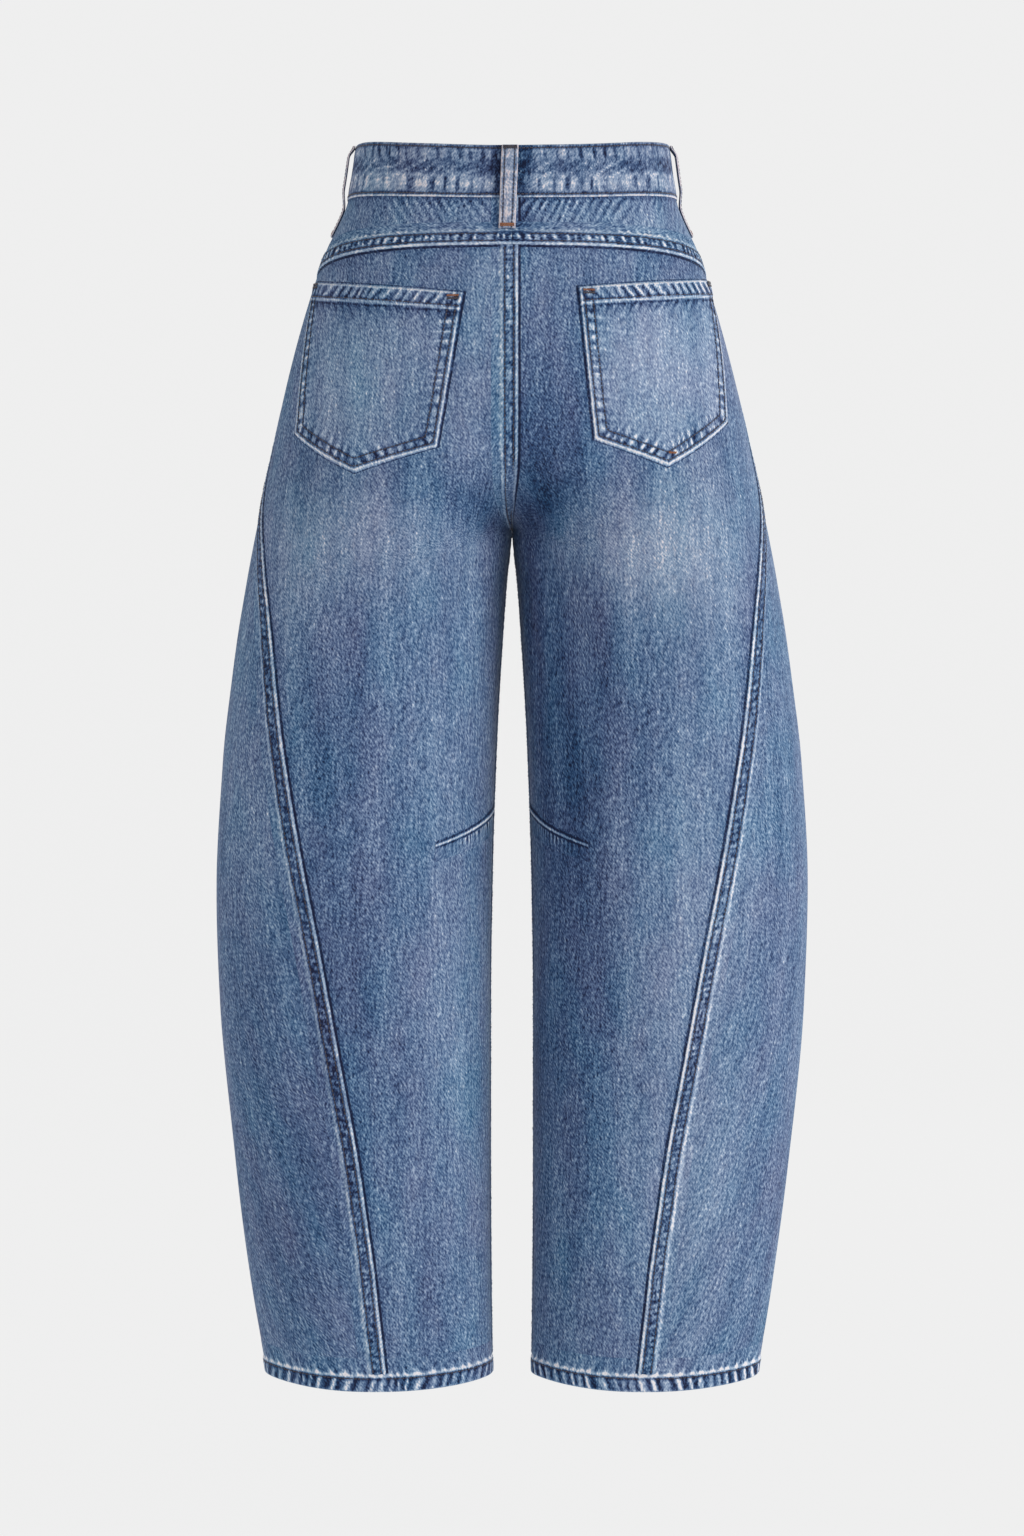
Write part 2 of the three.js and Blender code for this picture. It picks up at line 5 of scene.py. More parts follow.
import bpy
import numpy as np
from bpy.props import FloatProperty, FloatVectorProperty, PointerProperty
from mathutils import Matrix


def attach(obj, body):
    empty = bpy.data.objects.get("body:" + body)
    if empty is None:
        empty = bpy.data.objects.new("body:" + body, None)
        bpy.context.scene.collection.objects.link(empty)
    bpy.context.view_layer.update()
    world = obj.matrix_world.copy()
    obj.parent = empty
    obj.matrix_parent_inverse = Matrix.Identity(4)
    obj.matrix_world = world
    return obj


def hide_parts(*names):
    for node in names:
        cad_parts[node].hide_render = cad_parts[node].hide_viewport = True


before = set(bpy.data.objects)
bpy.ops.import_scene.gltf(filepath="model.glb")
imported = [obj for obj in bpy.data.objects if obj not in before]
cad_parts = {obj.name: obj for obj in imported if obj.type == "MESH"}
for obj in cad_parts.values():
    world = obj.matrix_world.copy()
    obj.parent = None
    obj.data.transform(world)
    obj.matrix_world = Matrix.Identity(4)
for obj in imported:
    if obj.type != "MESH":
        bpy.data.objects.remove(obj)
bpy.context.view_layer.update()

bl_info = {
    "name": "Barrel leg trousers",
    "version": (1, 0, 0),
    "blender": (4, 5, 0),
    "location": "View3D > Sidebar > Trousers",
    "description": "Builds washed denim trousers with their seams, pockets and topstitching",
    "category": "Object",
}

MM = 0.001
LEFT = -1
RIGHT = 1
SIDES = ((LEFT, "left"), (RIGHT, "right"))

# Cloth and seams, in millimetres
CLOTH = 1.5
BAND_TOP = -22.0
BAND_FOOT = 22.0
BAND_OUT = 1.0
BAND_IN = 2.2
UNDERLAP = 38.0
OVERLAP_RAMP = 34.0
HEM_DROP = 956.0
HEM_OUT = 0.8
HEM_IN = 0.9
LOOP_WIDTH = 12.6
LOOP_CLOTH = 1.6
LOOP_TOP = -21.0
LOOP_CLIMB = 8.0
LOOP_BOW = 3.7
LOOP_FALL_START = 12.0
LOOP_FALL = 20.0
LOOP_REST = 0.5
LOOP_FRONT = 92.0
FLY_WIDTH = 38.0
FLY_STRAIGHT = 128.0
FLY_FOOT = 172.0
BUTTON_INSET = 16.0

# The form of the right half: the same sections as the solids have.
SECTION_COLUMNS = ("drop", "outer", "inner", "back", "front", "middle", "split", "lift")
SECTIONS = (
    (-22, 124.0, 0.15, 88, 86, 0, 0.0, 0),
    (22, 131.0, 0.15, 92, 89, 0, 0.0, 0),
    (65, 149.0, 0.15, 101, 94, 0, 0.0, 0),
    (129, 169.0, 0.15, 113, 100, 0, 0.0, 0),
    (193, 185.0, 0.15, 119, 103, 0, 0.0, 0),
    (225, 191.5, 0.15, 127, 112, 0, 0.1, 2),
    (257, 198.5, 0.15, 130, 118, 0, 0.3, 8),
    (289, 205.0, 0.15, 124, 115, 0, 0.58, 18),
    (315, 210.0, 0.15, 115.5, 108, 1, 0.82, 32),
    (341, 214.5, 0.25, 109, 103, 2, 1.0, 51),
    (365, 218.5, 4.1, 105, 99, 3, 1.0, 47),
    (405, 224.0, 7.8, 101, 97, 4, 1.0, 38),
    (469, 231.6, 12.5, 96, 93, 4, 1.0, 22),
    (565, 236.6, 16.3, 90, 87, 2, 1.0, 5),
    (661, 233.4, 17.6, 84, 81, -2, 1.0, 0),
    (789, 220.4, 17.6, 75, 72, -7, 1.0, 0),
    (885, 207.2, 17.0, 67, 65, -10, 1.0, 0),
    (956, 195.0, 16.0, 61, 59, -12, 1.0, 0),
)
ROUNDING = 2.2
BACK_DIP = 11.0
FRONT_DIP = 13.0
DIP_FADE = 150.0
HEM_SAG = 8.0
HEM_SAG_START = 700.0

# The side seam's distance behind the side line.
SIDE_SEAM_COLUMNS = ("drop", "behind")
SIDE_SEAM = (
    (-22, -12), (130, -9), (195, -3), (230, 9), (266, 34), (304, 61), (344, 79), (423, 98),
    (501, 114), (561, 125), (625, 133.5), (700, 139.5), (780, 142), (850, 140), (900, 136),
    (956, 130),
)
YOKE_DROP = 64.0
YOKE_FALL = 19.0
YOKE_CURVE = 2.6
YOKE_LENGTH = 212.0
YOKE_SEAM_END = 78.0  # the drop at which the yoke's seam meets the side seam

# Soft folds and creases: side, u, drop, half length, half width, slant in degrees and depth.
FOLDS = (
    (-1, 0.11, 352, 72, 20, 62, 3.2),
    (1, 0.12, 366, 88, 22, 58, 3.8),
    (-1, 0.2, 520, 120, 26, 84, 1.8),
    (1, 0.17, 640, 150, 28, 79, 2.4),
    (-1, 0.12, 505, 46, 15, -12, 2.2),
    (1, 0.12, 503, 50, 15, -12, 2.4),
    (-1, 0.88, 300, 66, 15, -38, 2.6),
    (1, 0.89, 292, 58, 14, -42, 2.4),
    (-1, 0.72, 560, 60, 60, 0, -2.6),
    (1, 0.73, 552, 64, 58, 0, -2.8),
    (-1, 0.84, 640, 130, 24, 96, 2.2),
    (1, 0.66, 700, 140, 26, 84, 2.0),
)
CREASES = (
    (-1, 0.07, 318, 34, 8, 40, 1.2),
    (1, 0.07, 322, 38, 8, 44, 1.3),
    (-1, 0.06, 388, 40, 9, 74, 1.0),
    (1, 0.065, 402, 44, 9, 72, 1.1),
    (-1, 0.1, 565, 36, 9, -24, 1.0),
    (1, 0.11, 568, 40, 9, -20, 1.0),
    (-1, 0.3, 700, 90, 16, 80, 0.9),
    (1, 0.27, 760, 100, 16, 96, 0.9),
    (-1, 0.94, 262, 30, 7, -30, 1.1),
    (1, 0.93, 254, 28, 7, -34, 1.0),
    (-1, 0.86, 575, 44, 12, 14, 1.2),
    (1, 0.87, 590, 42, 12, 10, 1.2),
    (-1, 0.6, 300, 80, 18, 70, 0.9),
    (1, 0.6, 330, 84, 18, 74, 0.9),
)
FOLD_ROUND = 660.0
FOLD_MARGIN = 0.05

# Fade and painted shade patches: side, u, drop, half length, half width, slant and amount, which is above 0
# where the cloth is paler than its mean and below 0 where it is darker. Most patches are the cloth's
# fade; the dark ones by the centre back seam towards the crotch and on the right leg's inner side are
# painted shade over darker cloth, and those beside the back belt loop are painted shade.
WASH_AND_SHADE = (
    (-1, 0.25, 298, 70, 52, 10, 0.36),
    (1, 0.24, 312, 74, 56, 14, 0.52),
    (-1, 0.14, 300, 50, 34, 90, 0.1),
    (-1, 0.24, 470, 60, 30, 88, -0.12),
    (-1, 0.35, 305, 52, 38, 90, 0.2),
    (1, 0.33, 290, 60, 38, 90, 0.14),
    (-1, 0.2, 390, 90, 34, 86, 0.2),
    (-1, 0.42, 420, 90, 22, 88, 0.15),
    (-1, 0.3, 450, 70, 30, 88, -0.12),
    (-1, 0.11, 400, 150, 34, 84, 0.1),
    (-1, 0.05, 190, 110, 30, 88, 0.16),
    (-1, 0.04, 96, 34, 12, 88, 0.2),
    # painted shade over darker cloth, by the centre back seam towards the crotch and down the right leg's
    # inner side
    (-1, 0.07, 270, 60, 32, 90, -0.2),
    (1, 0.06, 250, 120, 34, 88, -0.17),
    (1, 0.05, 275, 46, 28, 90, -0.1),
    (1, 0.1, 420, 190, 44, 84, -0.3),
    (1, 0.12, 640, 220, 44, 84, -0.3),
    (1, 0.05, 780, 180, 26, 88, -0.22),
    (1, 0.21, 460, 84, 30, 84, -0.22),
    (1, 0.3, 600, 260, 60, 86, 0.14),
    (1, 0.24, 730, 200, 42, 88, 0.1),
    (1, 0.3, 830, 130, 60, 86, 0.1),
    (1, 0.34, 870, 80, 30, 88, -0.1),
    (1, 0.37, 640, 120, 24, 88, -0.08),
    (1, 0.27, 46, 40, 22, 0, 0.2),
    (-1, 0.3, 811, 130, 70, 86, -0.16),
    (-1, 0.34, 560, 200, 60, 86, -0.1),
    (-1, 0.26, 610, 130, 34, 88, -0.16),
    (-1, 0.1, 760, 200, 20, 88, 0.1),
    (-1, 0.33, 240, 90, 60, 86, -0.04),
    # painted shade beside the back belt loop
    (-1, 0.02, 40, 16, 9, 90, -0.4),
    # painted shade over darker cloth, by the centre back seam towards the crotch
    (-1, 0.13, 275, 50, 56, 88, -0.18),
    (-1, 0.055, 306, 36, 26, 88, -0.27),
    (-1, 0.21, 400, 70, 60, 88, -0.08),
    (-1, 0.31, 540, 90, 16, 88, 0.12),
    (-1, 0.215, 490, 50, 24, 88, 0.09),
    (1, 0.105, 480, 90, 14, 88, 0.13),
    (1, 0.335, 510, 40, 16, 88, 0.12),
    (-1, 0.13, 680, 160, 36, 88, 0.11),
    (-1, 0.34, 490, 110, 24, 88, 0.16),
    (-1, 0.24, 865, 60, 20, 88, 0.1),
    (-1, 0.17, 885, 50, 14, 88, -0.1),
    (1, 0.09, 640, 190, 26, 88, 0.08),
    (1, 0.24, 525, 50, 32, 88, 0.12),
    # painted shade over darker cloth, on the right leg's inner side
    (1, 0.15, 505, 60, 18, 88, -0.17),
    (1, 0.3, 597, 50, 24, 88, 0.13),
    (1, 0.33, 860, 80, 22, 88, 0.1),
    # painted shade over darker cloth, by the centre back seam towards the crotch and on the right leg's inner
    # side
    (1, 0.05, 289, 26, 22, 88, -0.24),
    (1, 0.18, 340, 90, 18, 88, -0.15),
    (1, 0.335, 433, 40, 20, 88, 0.1),
    (1, 0.11, 60, 40, 22, 0, 0.14),
    # painted shade over darker cloth, by the centre back seam
    (1, 0.0, 225, 34, 24, 88, -0.26),
    # painted shade beside the back belt loop
    (1, 0.01, 40, 16, 10, 90, -0.6),
    (-1, 0.75, 400, 260, 80, 90, 0.26),
    (1, 0.75, 400, 260, 80, 90, 0.26),
)

# Places where the fade has a pinkish grey cast.
CAST = (
    (-1, 0.25, 299, 90, 70, 10, 0.42),
    (1, 0.24, 312, 90, 75, 14, 0.42),
)
BAND_CAST = 0.34
LOOP_CAST = 0.65

# Back pockets: corners as distance from the centre back seam and drop, from the upper inner
# one to the upper outer one, the foot's outer one, the tip and the foot's inner one.
POCKETS = {
    LEFT: ((38, 106), (188, 90), (186, 213), (125, 247), (58, 228)),
    RIGHT: ((52, 101), (191, 88), (185, 204), (123, 242), (64, 222)),
}
POCKET_CLOTH = 1.5
DART_ROOT = (8.0, 518.0)
DART_TIP = (93.0, 540.0)
DART_BOW = 0.4

# The solid of each panel is parted into these stretches; here each panel is one cloth.
STRETCHES = ("seat", "thigh", "knee", "shin")

# Sewing
STITCH_PITCH = 3.1
STITCH_SHARE = 0.8  # of the pitch that shows as thread
TACK_SHARE = 1.12  # the same in a bar tack, whose threads overlap
ROWS = (3.4, 9.8)  # the two rows of a felled seam, from its folded edge
PUCKER_PITCH = 9.5
PUCKER_SLANT = 0.55
# Puckers of each felled seam: their pitch and slant, how strongly they are faded between the
# rows, how dark the cloth lies there, and how far they fade the cloth beyond the seam.
SEWN = {
    "side": (6.0, 0.3, 0.5, -0.2, 0.35),
    "centre": (5.4, 0.15, 0.45, 0.08, 0.5),
    "yoke": (6.8, 0.3, 1.4, 0.0, 0.9),
    "inseam": (7.4, 0.3, 0.8, -0.1, 0.35),
}
BAND_PITCH = 1.5  # spacing of a band's sections along the seam
# Across a band: distance from the folded edge, where below 0 is the cloth beside it, in painted shadow over
# unfaded cloth.
BAND_ACROSS = (-2.2, -1.5, -0.7, -0.35, -0.2, 0.1, 0.6, 1.3, 2.1, 2.9, 3.5, 4.2, 5.2, 6.4, 7.6,
               8.8, 9.6, 10.2, 11.0, 12.0, 13.0, 14.0, 15.2, 17.5, 20.5)

# Camera and photograph
IMAGE = (1024, 1536)
PIXEL = 0.8  # millimetres for each pixel in the plane of the side seams
CAMERA_AWAY = 3500.0
HORIZON = -475.0
SENSOR = 36.0
FLOOR = -1.075


def mix(start, end, share):
    return start + (end - start) * share


def smoothstep(value):
    t = np.clip(value, 0, 1)
    return t * t * (3 - 2 * t)


def rise(value, start, width):
    """From 0 at start to 1 a width further on, smoothly."""
    return smoothstep((value - start) / width)


def fall(value, start, width):
    return 1 - rise(value, start, width)


def bell(value, centre, width, power=2):
    return np.exp(-((value - centre) / width) ** power)


def tail(value, start, reach):
    """1 up to start, then falling off exponentially with the reach."""
    return np.exp(-np.maximum(value - start, 0) / reach)


def round_edge(distance, radius):
    """A quarter circle that rises from 0 at an edge to 1 a radius inside it."""
    return np.sqrt(np.clip(1 - (1 - np.clip(distance / radius, 0, 1)) ** 2, 0, 1))


def smooth_column(columns, rows, column):
    """Cubic interpolation without overshoot: a row's slope is the harmonic mean of its sides'."""
    table = np.array(rows, float)
    x, y = table[:, 0], table[:, columns.index(column)]
    span = np.diff(x)
    slope = np.diff(y) / span
    product = slope[:-1] * slope[1:]
    total = np.where(product > 0, slope[:-1] + slope[1:], 1.0)
    inner = np.where(product > 0, 2 * product / total, 0.0)
    tangent = np.concatenate([slope[:1], inner, slope[-1:]])

    def at(drop):
        i = np.clip(np.searchsorted(x, drop) - 1, 0, len(span) - 1)
        t = (drop - x[i]) / span[i]
        bend = t * (1 - t) * ((1 - t) * tangent[i] - t * tangent[i + 1]) * span[i]
        return mix(y[i], y[i + 1], t * t * (3 - 2 * t)) + bend

    return at


SECTION = {name: smooth_column(SECTION_COLUMNS, SECTIONS, name) for name in SECTION_COLUMNS[1:]}
BEHIND = smooth_column(SIDE_SEAM_COLUMNS, SIDE_SEAM, "behind")


def rounded(value):
    """A cosine or sine bent towards a slightly squared ellipse."""
    return np.sign(value) * np.abs(value) ** (2 / ROUNDING)


def smooth_form(u, drop):
    """The right half: u goes from the centre back or inseam, round the side at 0.5, to the
    front. It mixes half an oval of the body with the leg's own oval by the column split."""
    u, drop = np.broadcast_arrays(np.asarray(u, float), np.asarray(drop, float))
    angle = np.pi * u
    value = {name: column(drop) for name, column in SECTION.items()}
    depth = np.where(u < 0.5, value["back"], value["front"])
    body_x = value["inner"] + (value["outer"] - value["inner"]) * rounded(np.sin(angle))
    body_y = value["middle"] - depth * rounded(np.cos(angle))
    share = 0.5 + 0.5 * rounded(np.cos(2 * angle))
    leg_x = mix(value["outer"], value["inner"], share)
    leg_y = value["middle"] - depth * rounded(np.sin(2 * angle))
    centre = np.cos(angle) ** 2
    dip = np.where(u < 0.5, BACK_DIP, FRONT_DIP) * fall(drop, BAND_TOP, DIP_FADE)
    hang = HEM_SAG * rise(drop, HEM_SAG_START, HEM_DROP - HEM_SAG_START)
    z = -drop + value["lift"] * centre ** 2 - dip * centre - hang * np.sin(2 * angle) ** 2
    x = mix(body_x, leg_x, value["split"])
    y = mix(body_y, leg_y, value["split"])
    return np.stack([x, y, z], axis=-1)


def unit(vectors):
    return vectors / np.maximum(np.linalg.norm(vectors, axis=-1, keepdims=True), 1e-9)


def form_directions(u, drop):
    """The directions outwards and down the cloth of the right half, by differences."""
    step_u, step_drop = 0.004, 1.0
    round_it = smooth_form(np.minimum(u + step_u, 1), drop) - smooth_form(np.maximum(u - step_u, 0), drop)
    below = np.minimum(drop + step_drop, HEM_DROP)
    above = np.maximum(drop - step_drop, BAND_TOP)
    down = smooth_form(u, below) - smooth_form(u, above)
    return unit(np.cross(down, round_it)), unit(down)


def patches(table, side, u, drop):
    """The sum of soft oval patches: each falls off as a bell along and across its slant."""
    total = np.zeros(np.broadcast(side, u, drop).shape)
    for row_side, row_u, row_drop, along, across, slant, amount in table:
        turn = math.radians(slant)
        round_it = (u - row_u) * FOLD_ROUND
        down = drop - row_drop
        far = (round_it * math.cos(turn) + down * math.sin(turn)) / along
        wide = (down * math.cos(turn) - round_it * math.sin(turn)) / across
        total += np.where(side == row_side, amount * np.exp(-far * far - wide * wide), 0.0)
    return total


RIPPLE_COUNT = 9
ripple_rng = np.random.default_rng(41)
RIPPLE_ROUND = ripple_rng.uniform(0.008, 0.05, RIPPLE_COUNT)
RIPPLE_DOWN = ripple_rng.uniform(-0.03, 0.03, RIPPLE_COUNT)
RIPPLE_START = ripple_rng.uniform(0, 2 * np.pi, RIPPLE_COUNT)
RIPPLE_HEIGHT = 0.16


def cloth_shift(side, u, drop):
    """How far folds, creases and the cloth's faint unevenness move it outwards."""
    margin = smoothstep(np.minimum(u, 1 - u) / FOLD_MARGIN)
    folds = patches(FOLDS, side, u, drop) + patches(CREASES, side, u, drop)
    uneven = 0.0
    for turn, lean, start in zip(RIPPLE_ROUND, RIPPLE_DOWN, RIPPLE_START):
        uneven = uneven + np.sin(u * FOLD_ROUND * turn + drop * lean + start + side)
    return margin * (RIPPLE_HEIGHT * uneven - folds)


def cloth_point(side, u, drop, out):
    """A point of either half, moved out from the cloth; past its ends it runs straight on."""
    side, u, drop, out = np.broadcast_arrays(side, u, drop, out)
    inside = np.clip(drop, BAND_TOP, HEM_DROP)
    normal, down = form_directions(u, inside)
    shift = cloth_shift(side, u, inside) + out
    point = smooth_form(u, inside) + normal * shift[..., None] + down * (drop - inside)[..., None]
    return point * np.stack([side, np.ones_like(side), np.ones_like(side)], axis=-1)


def cloth_normal(side, u, drop):
    side, u, drop = np.broadcast_arrays(side, u, drop)
    normal = form_directions(u, np.clip(drop, BAND_TOP, HEM_DROP))[0]
    return normal * np.stack([side, np.ones_like(side), np.ones_like(side)], axis=-1)


# Lengths along level sections, as a table of drops and places.
ARC_STEPS = 256
ARC_DROP_STEP = 2.0
ARC_DROPS = np.arange(BAND_TOP, HEM_DROP + 0.1, ARC_DROP_STEP)
ARC_POINTS = smooth_form(np.linspace(0, 1, ARC_STEPS + 1)[None, :], ARC_DROPS[:, None])
ARC_STRIDES = np.linalg.norm(np.diff(ARC_POINTS, axis=1), axis=-1)
ARC = np.concatenate([np.zeros((len(ARC_DROPS), 1)), np.cumsum(ARC_STRIDES, axis=1)], axis=1)


def arc_between(index, drop):
    """The length at a sample of the section, interpolated between two drops of the table."""
    place = np.clip((drop - BAND_TOP) / ARC_DROP_STEP, 0, len(ARC_DROPS) - 1.001)
    row = place.astype(int)
    return mix(ARC[row, index], ARC[row + 1, index], place - row)


def place_at(length, drop):
    """The place u at a length along the section, found by halving."""
    length, drop = np.broadcast_arrays(np.asarray(length, float), np.asarray(drop, float))
    low = np.zeros(length.shape, int)
    high = np.full(length.shape, ARC_STEPS)
    while np.any(high - low > 1):
        middle = (low + high) // 2
        ahead = arc_between(middle, drop) < length
        low = np.where(ahead, middle, low)
        high = np.where(ahead, high, middle)
    start, end = arc_between(low, drop), arc_between(high, drop)
    return np.clip((low + (length - start) / (end - start)) / ARC_STEPS, 0, 1)


def full_length(drop):
    drop = np.asarray(drop, float)
    return arc_between(np.full(drop.shape, ARC_STEPS), drop)


def side_length(drop):
    drop = np.asarray(drop, float)
    return arc_between(np.full(drop.shape, ARC_STEPS // 2), drop)


def seam_length(drop):
    return side_length(drop) - BEHIND(drop)


def yoke_drop(length):
    return YOKE_DROP + YOKE_FALL * (np.abs(length) / YOKE_LENGTH) ** YOKE_CURVE


KNOTS = 512


def drift(along, step, seed):
    """A smooth random line from -1 to 1 with a new value every step millimetres."""
    values = np.random.default_rng(seed).uniform(-1, 1, KNOTS + 1)
    place = np.mod(along / step, KNOTS - 1)
    i = place.astype(int)
    return mix(values[i], values[i + 1], smoothstep(place - i))


def crest(along, across, seed, pitch=PUCKER_PITCH, slant=PUCKER_SLANT):
    """Puckers: a slanted wave along the seam whose pitch and height drift, from -1 to 1."""
    phase = (along + slant * across) / pitch + 0.55 * drift(along, 2.2 * pitch, seed)
    wave = np.sin(2 * np.pi * phase)
    second = np.sin(2 * np.pi * (1.9 * phase + 0.6 * drift(along, 1.4 * pitch, seed + 1)))
    strength = 0.72 + 0.28 * drift(along, 2.9 * pitch, seed + 2)
    return strength * (0.75 * wave + 0.35 * second)


# Meshes

POINT_VALUES = {"points": (3,), "grain": (2,), "wash": (), "cast": ()}


def make_mesh(name, parts, materials, nodes=()):
    """One object from parts, each a dict of points in millimetres, faces as arrays of three or
    more corners, and per point the grain (its place in the weave), the fade with its painted shade, and the
    cast."""
    values = {key: [] for key in POINT_VALUES}
    loops, starts, slots = [], [], []
    base, corner = 0, 0
    for part in parts:
        count = len(part["points"])
        for key, shape in POINT_VALUES.items():
            values[key].append(part.get(key, np.zeros((count, *shape))))
        for faces, number in part["faces"]:
            loops.append((faces + base).ravel())
            starts.append(corner + faces.shape[1] * np.arange(len(faces)))
            slots.append(np.full(len(faces), number))
            corner += faces.size
        base += count
    values = {key: np.concatenate(found) for key, found in values.items()}
    loops, starts = np.concatenate(loops), np.concatenate(starts)
    mesh = bpy.data.meshes.new(name)
    mesh.vertices.add(base)
    mesh.vertices.foreach_set("co", (values["points"] * MM).ravel())
    mesh.loops.add(len(loops))
    mesh.loops.foreach_set("vertex_index", loops)
    mesh.polygons.add(len(starts))
    mesh.polygons.foreach_set("loop_start", starts)
    mesh.polygons.foreach_set("material_index", np.concatenate(slots))
    mesh.update(calc_edges=True)
    layer = mesh.uv_layers.new(name="grain")
    layer.data.foreach_set("uv", (values["grain"][loops] * MM).ravel())
    for key in ("wash", "cast"):
        mesh.attributes.new(key, "FLOAT", "POINT").data.foreach_set("value", values[key])
    mesh.shade_smooth()
    mesh.set_sharp_from_angle(angle=math.radians(50))
    for material in materials:
        mesh.materials.append(material)
    piece = bpy.data.objects.new(name, mesh)
    bpy.context.scene.collection.objects.link(piece)
    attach(piece, "root")
    if nodes:
        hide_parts(*nodes)


def cloth_piece(name, parts, nodes=()):
    make_mesh(name, parts, cloth_materials(), nodes)


def thread_piece(name, parts):
    make_mesh(name, parts, thread_materials())


def grid_faces(columns, rows, start=0, flip=False):
    """Quads between the points of a grid that is stored column by column."""
    i, j = np.meshgrid(np.arange(columns - 1), np.arange(rows - 1), indexing="ij")
    a = start + i * rows + j
    quads = np.stack([a, a + rows, a + rows + 1, a + 1], axis=-1).reshape(-1, 4)
    return quads[:, ::-1] if flip else quads


def round_faces(stations, around, closed=False):
    """Quads round rings stored one after another; closed joins the last ring to the first."""
    i, k = np.meshgrid(np.arange(stations - (not closed)), np.arange(around), indexing="ij")
    after, ahead = (i + 1) % stations, (k + 1) % around
    return np.stack([i * around + k, i * around + ahead, after * around + ahead, after * around + k], axis=-1)


def turned_out(points, faces):
    """The faces, reversed if they point inwards, where the volume that they enclose is below 0."""
    centred = points - points.mean(axis=0)
    total = 0.0
    for group, _ in faces:
        for corner in range(1, group.shape[1] - 1):
            a, b, c = (centred[group[:, k]] for k in (0, corner, corner + 1))
            total += float(np.einsum("ij,ij->", a, np.cross(b, c)))
    return [(group[:, ::-1], slot) for group, slot in faces] if total < 0 else faces


def wall_part(outer, inner, grain, wash):
    """A closed wall between two grids, its rim closed by quads; slot 1 is the reverse side."""
    columns, rows = outer.shape[:2]
    count = columns * rows
    points = np.concatenate([outer.reshape(-1, 3), inner.reshape(-1, 3)])
    top, start = np.arange(columns) * rows, np.arange(rows)
    rim = []
    for line, turn in ((top, True), (top + rows - 1, False), (start, False), (start + count - rows, True)):
        a, b = line[:-1], line[1:]
        quad = np.stack([a, b, b + count, a + count], axis=-1)
        rim.append(quad[:, ::-1] if turn else quad)
    reverse = grid_faces(columns, rows, count, True)
    faces = [(grid_faces(columns, rows), 0), (np.concatenate(rim), 0), (reverse, 1)]
    return {
        "points": points,
        "faces": turned_out(points, faces),
        "grain": np.concatenate([grain.reshape(-1, 2)] * 2),
        "wash": np.concatenate([wash.ravel()] * 2),
    }


def tube_part(rings, grain=None, wash=None, slots=None, middles=None):
    """A closed tube through rings of points, with its ends closed by fans about their middles.
    slots gives the material slot of each strip of faces round the ring."""
    stations, around = rings.shape[:2]
    middles = rings[[0, -1]].mean(axis=1) if middles is None else middles
    points = np.concatenate([rings.reshape(-1, 3), middles])
    quads = round_faces(stations, around)
    ring = np.arange(around)
    last = ring + (stations - 1) * around
    centre = np.full(around, stations * around)
    strips = np.zeros(around, int) if slots is None else slots
    faces = [(quads[:, strips == slot].reshape(-1, 4), slot) for slot in np.unique(strips)]
    faces.append((np.stack([np.roll(ring, -1), ring, centre], axis=-1), 0))
    faces.append((np.stack([last, np.roll(last, -1), centre + 1], axis=-1), 0))
    part = {"points": points, "faces": turned_out(points, faces)}
    for key, values in (("grain", grain), ("wash", wash)):
        if values is not None:
            flat = values.reshape(stations * around, *values.shape[2:])
            part[key] = np.concatenate([flat, flat[[0, -1]]])
    return part


def ring_part(rings, across, along, wash, outside):
    """A tube that closes on itself both ways; the strips after the outside ones show the
    reverse of the cloth."""
    quads = round_faces(*rings.shape[:2], closed=True)
    points = rings.reshape(-1, 3)
    faces = [(quads[:, :outside].reshape(-1, 4), 0), (quads[:, outside:].reshape(-1, 4), 1)]
    grain = np.stack(np.broadcast_arrays(along[:, None], across[None, :]), axis=-1)
    return {
        "points": points, "faces": turned_out(points, faces), "grain": grain.reshape(-1, 2),
        "wash": wash.ravel(),
    }


# Colours and materials

def linear(colour):
    """An sRGB colour, as hex digits or three values, as linear red, green, blue and alpha."""
    if isinstance(colour, str):
        digits = colour.lstrip("#")
        colour = [int(digits[i:i + 2], 16) / 255 for i in (0, 2, 4)]
    values = np.array(list(colour)[:3], float)
    return (*np.where(values <= 0.04045, values / 12.92, ((values + 0.055) / 1.055) ** 2.4), 1.0)


def node(tree, kind, settings=(), links=()):
    """A node with its settings, on itself or on an input by name, and its incoming links."""
    made = tree.nodes.new(kind)
    for key, value in dict(settings).items():
        if isinstance(key, str) and hasattr(made, key):
            setattr(made, key, value)
        else:
            made.inputs[key].default_value = value
    for key, source in dict(links).items():
        tree.links.new(source, made.inputs[key])
    return made


def new_material(name, sockets):
    """A material whose principled shader has these constants on its sockets."""
    material = bpy.data.materials.new(name)
    material.use_nodes = True
    tree = material.node_tree
    shader = next(n for n in tree.nodes if n.type == "BSDF_PRINCIPLED")
    for key, value in sockets.items():
        shader.inputs[key].default_value = value
    return material, tree, shader


def ramp(tree, source, stops):
    made = node(tree, "ShaderNodeValToRGB", links={"Fac": source})
    band = made.color_ramp
    while len(band.elements) < len(stops):
        band.elements.new(0.5)
    for element, (place, colour) in zip(band.elements, stops):
        element.position = place
        element.color = linear(colour)
    return made.outputs["Color"]


def grain_noise(tree, grain, size, detail=2.0, roughness=0.6, slant=0.0):
    """Noise on the weave, with a mean grain of the given width and length in millimetres,
    turned by a slant in degrees from the warp."""
    placed = node(
        tree, "ShaderNodeMapping",
        {"vector_type": "TEXTURE", "Scale": (size[0] * MM, size[1] * MM, 1.0),
         "Rotation": (0, 0, -math.radians(slant))},
        {"Vector": grain},
    )
    return node(
        tree, "ShaderNodeTexNoise",
        {"noise_dimensions": "2D", "Scale": 1.0, "Detail": detail, "Roughness": roughness},
        {"Vector": placed.outputs["Vector"]},
    ).outputs["Fac"]


